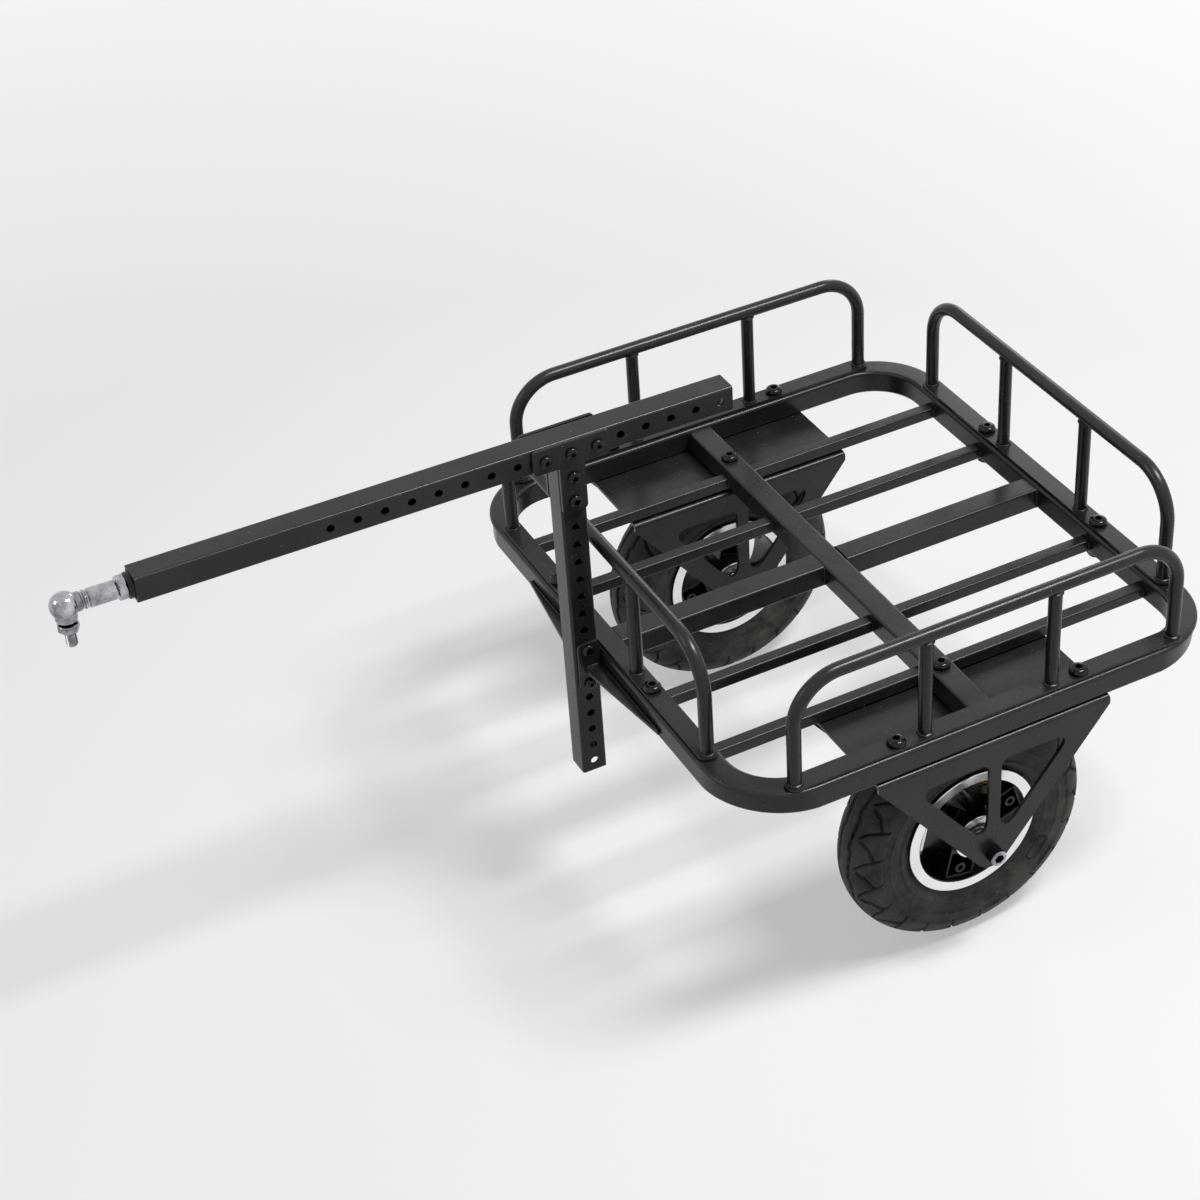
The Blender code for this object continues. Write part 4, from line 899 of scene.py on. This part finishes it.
# %% Screws through the plates
HEAD_X = PLATE_X + SHEET + GAP
small_screw = screw(radius=4.75, height=2.8, flat=2.2, key=3, depth=1.6, shank=2.5, grip=2 * HEAD_X,
                    nut_width=8, nut_height=4)
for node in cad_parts:
    if node.startswith(("tee_bolt_", "post_bolt_")):
        middle = middle_of(node)
        middle.x = HEAD_X * MM
        piece(f"{node}_screw", small_screw, frame_at(middle) @ turn(90, "Y") @ turn(rng.uniform(0, 60)),
              black_screw, "black_steel", [node], sharp=30)
print("small screws,", len(small_screw.polygons), "faces each")

# %% [markdown]
# ## Tyres
# A moulded tyre is a ring whose section is close to an oval with square shoulders. The profile is
# spun once round in many steps, about one for each millimetre of tread. The tread's grooves are
# then pressed in along lines drawn on the unrolled tread: on each side of the middle a zigzag, a
# long cross groove and two short ones, which repeat all the way round. The tread ends in a step,
# the sidewall has a sunk band between two ridges, and a plain oval pad is outlined on the band.

# %% The tyre's plain ring
TYRE_RADIUS = size_of("left_tyre").z / 2
TYRE_HALF = size_of("left_tyre").x / 2
CROWN = TYRE_RADIUS - TYRE_HALF
PITCHES, STEPS_PER_PITCH = 21, 32
PITCH = 2 * math.pi * TYRE_RADIUS / PITCHES
BEAD_AND_INSIDE = mirrored([(57, -17.6), (55.1, -16.9), (51.6, -16.7), (51.4, -16.4), (51.4, -11.7),
                            (60, -18.4), (75, -19.5), (88, -15), (94, -7)], (95, 0))


def oval(degrees):
    """A point (radius, height) on the tyre's outside."""
    angle = math.radians(degrees)
    square = (abs(math.cos(angle)) ** 2.2 + abs(math.sin(angle)) ** 2.2) ** (-1 / 2.2)
    return CROWN + TYRE_HALF * square * math.cos(angle), TYRE_HALF * square * math.sin(angle)


angles = np.linspace(0, 120, 481)
outline = np.array([oval(a) for a in angles])
along = np.concatenate([[0], np.cumsum(np.linalg.norm(np.diff(outline, axis=0), axis=1))])
stops = [*np.arange(0, 44.5, 0.85), *np.linspace(45, along[-1], 10)]
stops = [float(a) for a in np.interp(stops, along, angles)]
profile = [oval(a) for a in reversed(stops)] + [oval(-a) for a in stops[1:]] + BEAD_AND_INSIDE
tyre_mesh = spun(PITCHES * STEPS_PER_PITCH, profile, closed=True)
print("tyre", round(2 * TYRE_RADIUS), "mm,", len(tyre_mesh.polygons), "faces")

# %% Grooves, steps and ridges
PAD_RADIUS, PAD_AT, PAD_HALF_LENGTH, PAD_HALF_WIDTH = 69.0, -36, 7, 4
GROOVE_EDGE = 0.7
GROOVES = (  # points (along the pitch, out from the middle), half width, depth
    ([(0, 7.4), (0.86 * PITCH, 5.2), (PITCH, 7.4)], 1.3, 2.8),
    ([(0, 33), (2.1, 28.5), (3.3, 25), (5.6, 20), (9, 16), (13, 12.5)], 0.85, 2.3),
    ([(-13.5, 14.5), (-10, 20)], 1.2, 2.6),
    ([(-8.3, 21.6), (0.5, 26), (2, 28.3)], 1.0, 2.4),
)


def groove(distance, half_width, depth):
    share = np.clip((half_width - distance) / GROOVE_EDGE + 0.5, 0, 1)
    return depth * share * share * (3 - 2 * share)


def ridge(s, at, height, half_width):
    return height * np.clip(1 - np.abs(s - at) / half_width, 0, 1)


def step_down(s, at, height, length):
    return height * np.clip((s - at) / length, 0, 1)


def to_line(u, s, points):
    """How far each (u, s) is from a line of points that repeats at each pitch."""
    best = np.full(len(u), 1e9)
    for (u0, s0), (u1, s1) in zip(points, points[1:]):
        for repeat in (-PITCH, 0, PITCH):
            du, ds = u1 - u0, s1 - s0
            share = np.clip(((u - u0 - repeat) * du + (s - s0) * ds) / (du * du + ds * ds), 0, 1)
            best = np.minimum(best, np.hypot(u - u0 - repeat - share * du, s - s0 - share * ds))
    return best


co = np.empty(len(tyre_mesh.vertices) * 3)
tyre_mesh.vertices.foreach_get("co", co)
co = co.reshape(-1, 3)
radius = np.hypot(co[:, 0], co[:, 1])
around = np.degrees(np.arctan2(co[:, 1], co[:, 0]))
tilt = np.degrees(np.arctan2(co[:, 2], radius - CROWN))
outside = (np.hypot(co[:, 2], radius - CROWN) > TYRE_HALF - 2) & (np.abs(tilt) < 119)
s = np.interp(np.abs(tilt), angles, along)
u = np.mod(around / 360 * PITCHES + np.where(co[:, 2] >= 0, 0, 0.5), 1) * PITCH
depth = np.zeros(len(s))
for points, half_width, deep in GROOVES:
    depth = np.maximum(depth, groove(to_line(u, s, points), half_width, deep))
depth += step_down(s, 33.2, 1.1, 0.6) + step_down(s, 41.4, 0.6, 0.8)
depth -= ridge(s, 41.2, 0.9, 0.9)
depth -= ridge(s, 51, 0.5, 1.6)
past_pad = np.radians(np.mod(around - PAD_AT + 180, 360) - 180) * PAD_RADIUS
to_middle = np.hypot(radius - PAD_RADIUS, np.maximum(np.abs(past_pad) - PAD_HALF_LENGTH, 0))
depth += 1.1 * np.clip(1.5 - np.abs(to_middle - PAD_HALF_WIDTH) * 1.5, 0, 1)
depth = np.where(outside & (s < 53.5), np.maximum(depth, 0.005), 0)
inward = np.stack([radius - CROWN, co[:, 2]], axis=1)
inward /= np.linalg.norm(inward, axis=1)[:, None]
new_radius = radius - depth * inward[:, 0]
co[:, 0] *= new_radius / radius
co[:, 1] *= new_radius / radius
co[:, 2] -= depth * inward[:, 1]
tyre_mesh.vertices.foreach_set("co", co.ravel())
tyre_mesh.update()
for side, place in WHEELS.items():
    piece(f"{side}_tyre_moulded", tyre_mesh, place, rubber, "rubber", [f"{side}_tyre"], f"{side}_wheel", 60)
print(len(GROOVES), "kinds of groove, up to", round(float(depth.max()), 1), "mm deep")

# %% [markdown]
# ## Rims
# The rim is a casting: a barrel, a hub and three box-like spokes. Each face of a spoke is inset
# to leave a rib all round, then sunk to a floor, and a boss for the screw that joins the rim's
# halves stands in the pocket. The barrel's ends and the hub's ends are turned bright after the
# paint, so they are rings of their own in a bright finish.

# %% The casting
RIM_HALF = size_of("left_rim").x / 2
RIM_WIDTH_HALF, RIM_LIP = 19.7, 2.7
BARREL, BEAD, FLANGE = 45.5, 50.8, 54.5
HUB = 19.0
SPOKE_START, SPOKE_END, SPOKE_TALL, SPOKE_WIDE, RIB = 15.5, 47, 32.8, 25.0, 3
BOSS_CIRCLE = 36.5


def rim_mesh():
    bm = bmesh.new()
    half = RIM_WIDTH_HALF
    lip = half - RIM_LIP
    turned(bm, mirrored([(BEAD, lip), (FLANGE, lip), (FLANGE, half - 0.6), (FLANGE - 0.6, half),
                         (BARREL + 0.5, half), (BARREL, half - 0.5), (BARREL - 0.6, 6)]), 96, closed=True)
    end = RIM_HALF - 0.05
    turned(bm, mirrored([(11, end - 10), (14.2, end - 10), (14.2, end - 0.5), (14.6, end), (HUB - 0.6, end),
                         (HUB, end - 0.6), (HUB + 0.8, 12)]), 64, closed=True)
    middle = (SPOKE_START + SPOKE_END) / 2
    box = Matrix.Diagonal((SPOKE_END - SPOKE_START, SPOKE_WIDE, SPOKE_TALL, 1))
    spoke = bmesh.new()
    bmesh.ops.create_cube(spoke, size=1, matrix=shift(middle) @ box)
    spoke.normal_update()
    for sign in (1, -1):
        face = next(f for f in spoke.faces if f.normal.z * sign > 0.9)
        bmesh.ops.inset_individual(spoke, faces=[face], thickness=RIB, depth=0)
        for v in face.verts:
            v.co.x = HUB + RIB if v.co.x < middle else BARREL - RIB
        bmesh.ops.inset_individual(spoke, faces=[face], thickness=0.5, depth=-(SPOKE_TALL / 2 - 5))
    soften(spoke, [e for e in spoke.edges if e.calc_face_angle(0) > math.radians(40)], 0.9, 3)
    spoke_part = as_mesh(spoke)
    boss_part = spun(28, mirrored([(2.4, 16.2), (4.2, 16.2), (4.6, 15.8), (4.75, 5)]), closed=True)
    for i in range(3):
        add_copy(bm, spoke_part, turn(120 * i))
        add_copy(bm, boss_part, turn(120 * i) @ shift(BOSS_CIRCLE))
    return as_mesh(bm)


rim_cast = rim_mesh()
print("rim", len(rim_cast.polygons), "faces; hub", round(2 * RIM_HALF, 1), "mm wide")

# %% Rings, bearings, valve and axle
THREAD = 1.25
BEARING_WIDTH, BEARING_INSET = 8.0, 1


def thread_rows(radius, start, end):
    """The ridges of a thread, as rings."""
    count = int(abs(end - start) / THREAD)
    step = (end - start) / count
    rows = []
    for i in range(count):
        rows += [(radius - 0.55, start + i * step), (radius, start + (i + 0.5) * step)]
    return rows


def bright_ring(inner, outer, face):
    """A thin ring on both ends, a hair proud of the painted casting."""
    edge = 0.35
    back, low = face - 0.7, face - edge
    upper = [(inner + edge, face), (inner, low), (inner, back), (outer, back), (outer, low),
             (outer - edge, face)]
    return spun(96, upper, [(radius, -height) for radius, height in upper], closed=True)


flange_ring = bright_ring(BARREL + 0.6, FLANGE - 0.1, RIM_WIDTH_HALF + 0.03)
hub_ring = bright_ring(14.3, HUB - 0.1, RIM_HALF)

half = BEARING_WIDTH / 2
bearing_ring = spun(64, *([(inner, -half), (inner, half - 0.3), (inner + 0.3, half), (outer - 0.3, half),
                           (outer, half - 0.3), (outer, -half)]
                          for inner, outer in ((12.0, 14.0), (6.0, 8.2))), closed=True)
bearing_seal = spun(64, [(8.15, 0.4 - half), (8.15, half - 0.35), (8.9, half - 0.15), (9.4, half - 0.4),
                         (11.2, half - 0.4), (11.6, half - 0.15), (12.05, half - 0.35),
                         (12.05, 0.4 - half)], closed=True)

# The valve stands on its foot, with its thread and then its cap above it.
VALVE_CAP = 9.9
valve = spun(32, [(0, -2), (3.9, -2), (3.9, 1.2), (3.0, 2.2), (2.6, 2.4), *thread_rows(2.6, 2.6, 9.8),
                  (3.3, 10), (3.3, 15.4), (2.9, 16), (0, 16)])

head_face = BRACKET_WIDTH / 2 + GAP
plate_face = BRACKET_WIDTH / 2 - SHEET - GAP
spacer = RIM_HALF - BEARING_INSET + GAP
sleeve_mesh = spun(48, mirrored([(4.3, plate_face), (7.6, plate_face), (8, plate_face - 0.4), (8, spacer),
                                 (5.7, spacer)]), closed=True)
axle_mesh = screw(radius=6.5, height=8.5, flat=0, key=7, depth=4, shank=4, grip=2 * head_face,
                  nut_width=13, nut_height=5.5, cap=True)
print("axle screw", round(2 * head_face, 1), "mm between its seats")

# %% Both wheels
SPOKE_ANGLES = {"left": 18, "right": -75}
VALVE_ANGLES = {"left": 70, "right": -15}


def on_wheel(side, part, mesh, place, look, slot, node=None, **more):
    """A piece that turns with this side's wheel."""
    return piece(f"{side}_{part}", mesh, WHEELS[side] @ place, look, slot, [f"{side}_{node}"] if node else (),
                 f"{side}_wheel", **more)


for side, angle in SPOKE_ANGLES.items():
    on_wheel(side, "rim_cast", rim_cast, turn(angle), rim_paint, "rim_black", "rim", sharp=40,
             flat_faces=True)
    on_wheel(side, "rim_flange_rings", flange_ring, turn(0), machined, "rim_black")
    on_wheel(side, "rim_hub_rings", hub_ring, turn(0), machined, "rim_black")
    for end, flip in (("outer", 0), ("inner", 180)):
        seat = turn(flip, "X") @ shift(0, 0, RIM_HALF - BEARING_INSET - BEARING_WIDTH / 2)
        on_wheel(side, f"{end}_bearing_rings", bearing_ring, seat, bearing_steel, "bearing_steel",
                 f"{end}_bearing")
        on_wheel(side, f"{end}_bearing_seal", bearing_seal, seat, seal_rubber, "bearing_steel")
    on_barrel = turn(VALVE_ANGLES[side]) @ shift(BARREL, 0, 8) @ turn(-58, "Y")
    valve_piece = on_wheel(side, "valve", valve, on_barrel, [brass, seal_rubber], "bearing_steel", sharp=30)
    for face, unplaced in zip(valve_piece.data.polygons, valve.polygons):
        face.material_index = int(unplaced.center.z > VALVE_CAP)
    at = WHEELS[side]
    piece(f"{side}_sleeve", sleeve_mesh, at, bearing_steel, "bearing_steel", [f"{side}_axle_sleeve"])
    axle_screw = piece(f"{side}_axle_screw", axle_mesh, at @ shift(0, 0, head_face) @ turn(20),
                       [black_screw, zinc], "black_steel", [f"{side}_axle_bolt"], sharp=30)
    # The head's end face gets the bright zinc finish, whose mottle is a painted reflection.
    bright_face_from = abs(at.translation.x) + (head_face + 7.7) * MM
    for face in axle_screw.data.polygons:
        face.material_index = int(abs(face.center.x) > bright_face_from)
print("wheels", " and ".join(SPOKE_ANGLES))

# %% [markdown]
# ## Ball joint
# The joint at the drawbar's end is a steel ball in a zinc-plated housing, held by a ring in the
# housing's mouth. The housing is a sphere joined to a skirt and a shank, with a bore cut from below
# and two flats for a spanner. The stud under it is one turned profile with a six-sided bar on it.
# The ball's underside is round and the stud's top is hollow, so neither meets the other's edge
# when the joint tilts.

# %% Housing
BALL_R = 5.0
HOUSING_R = 10.0
SHANK_END = 35.5
ALONG = turn(-90, "X")

bm = bmesh.new()
bmesh.ops.create_uvsphere(bm, u_segments=64, v_segments=40, radius=HOUSING_R)
sphere = as_mesh(bm)
skirt = spun(64, [(0, -2), (7.8, -2), (7.8, -9.4), (7.4, -10.5), (0, -10.5)])
shank = spun(64, [(0, 4), (6.8, 4), (6.8, 10.8), (6.0, 11.6), (6.0, 12.6), (6.8, 13.2), (6.8, 14.2),
                  (6.0, 14.8), (6.0, 15.8), (6.8, 16.5), (6.8, SHANK_END - 0.6), (6.2, SHANK_END),
                  (0, SHANK_END)])
bore = spun(48, [(0, 5.3), (2.1, 4.9), (3.8, 3.7), (4.9, 2.0), (5.3, 0), (5.3, -7.3), (6.7, -12), (0, -12)])
thread_hole = spun(40, [(0, 11), (5.3, 11), (5.3, 40), (0, 40)])
shank.transform(ALONG)
thread_hole.transform(ALONG)
bm = bmesh.new()
for sign in (1, -1):
    flat_at = shift(sign * 9.8, SHANK_END - 4.5)
    bmesh.ops.create_cube(bm, size=1, matrix=flat_at @ Matrix.Diagonal((8, 10, 30, 1)))
flats = as_mesh(bm)
housing = cut(cut(sphere, [skirt, shank], "UNION"), [bore, thread_hole, flats])
piece("socket_housing", housing, TIPPED_BALL, zinc, "zinc", ["hitch_socket"], sharp=32)
print("housing", len(housing.polygons), "faces")

# %% Stud, ball and ring
STUD_R, STUD_HEX, STUD_HEX_HEIGHT = 4.0, 13, 4
bm = bmesh.new()
turned(bm, [(0, -5.15), (1.0, -5.05), (2.0, -4.75), (2.2, -4.9), (2.2, -12.6), (3.0, -13.6), (6.9, -13.6),
            (7.2, -13.9), (7.2, -14.9), (6.9, -15.2), (0, -15.2)], 48)
turned(bm, [(0, -19.2), (3.6, -19.2), *thread_rows(STUD_R, -19.8, -31.2), (3.2, -32), (0, -32)], 40)
cylinder(bm, 6, STUD_HEX / math.sqrt(3), STUD_HEX_HEIGHT, shift(0, 0, -17.2))
piece("stud_turned", as_mesh(bm), BALL, zinc, "zinc", ["hitch_stud"], "joint_stud", 30)
down_its_side = [math.radians(a) for a in range(55, -90, -5)]
round_side = [(BALL_R * math.cos(a), BALL_R * math.sin(a)) for a in down_its_side]
rim_r, top_z = round_side[0]
ball = spun(48, [(0, top_z), (rim_r - 0.2, top_z), *round_side, (0, -BALL_R)])
piece("ball_turned", ball, BALL, bearing_steel, "bearing_steel", ["hitch_ball"], "joint_ball")
retainer = spun(48, [(5.0, -3.4), (5.0, -5.0), (4.35, -5.0), (4.35, -3.4)], closed=True)
piece("retaining_ring", retainer, BALL, bearing_steel, "bearing_steel", ["hitch_collar"], "joint_ring")
print("stud, ball and ring")

# %% Plug, rod and lock nut
NOSE = -(FRONT + GAP)
PLUG_LIP, ROD_SHORT = 3.5, 12.4
NUT_WIDTH, NUT_HEIGHT, NUT_GAP = 17, 5.5, 0.6
rod_length = BALL_REACH - FRONT - GAP - PLUG_LIP - ROD_SHORT
plug = spun(56, [(0, -12), (8.2, -12), (8.2, 0), (9.5, 0), (9.5, PLUG_LIP - 0.5), (9.0, PLUG_LIP),
                 (0, PLUG_LIP)])
rod = spun(40, [(0, 0), *thread_rows(5.0, 0.2, rod_length - 0.8), (4.2, rod_length), (0, rod_length)])


def on_nose(y):
    return DRAWBAR @ shift(0, y, 0) @ turn(90, "X")


piece("nose_plug", plug, on_nose(NOSE), black_screw, "black_steel", ["drawbar_plug"], sharp=30)
piece("nose_rod", rod, on_nose(NOSE - PLUG_LIP), zinc, "black_steel")
piece("lock_nut", nut(NUT_WIDTH, NUT_HEIGHT), on_nose(NOSE - PLUG_LIP - NUT_GAP - NUT_HEIGHT) @ turn(8), zinc,
      "zinc", ["jam_nut"], sharp=30)
print("plug, rod and nut")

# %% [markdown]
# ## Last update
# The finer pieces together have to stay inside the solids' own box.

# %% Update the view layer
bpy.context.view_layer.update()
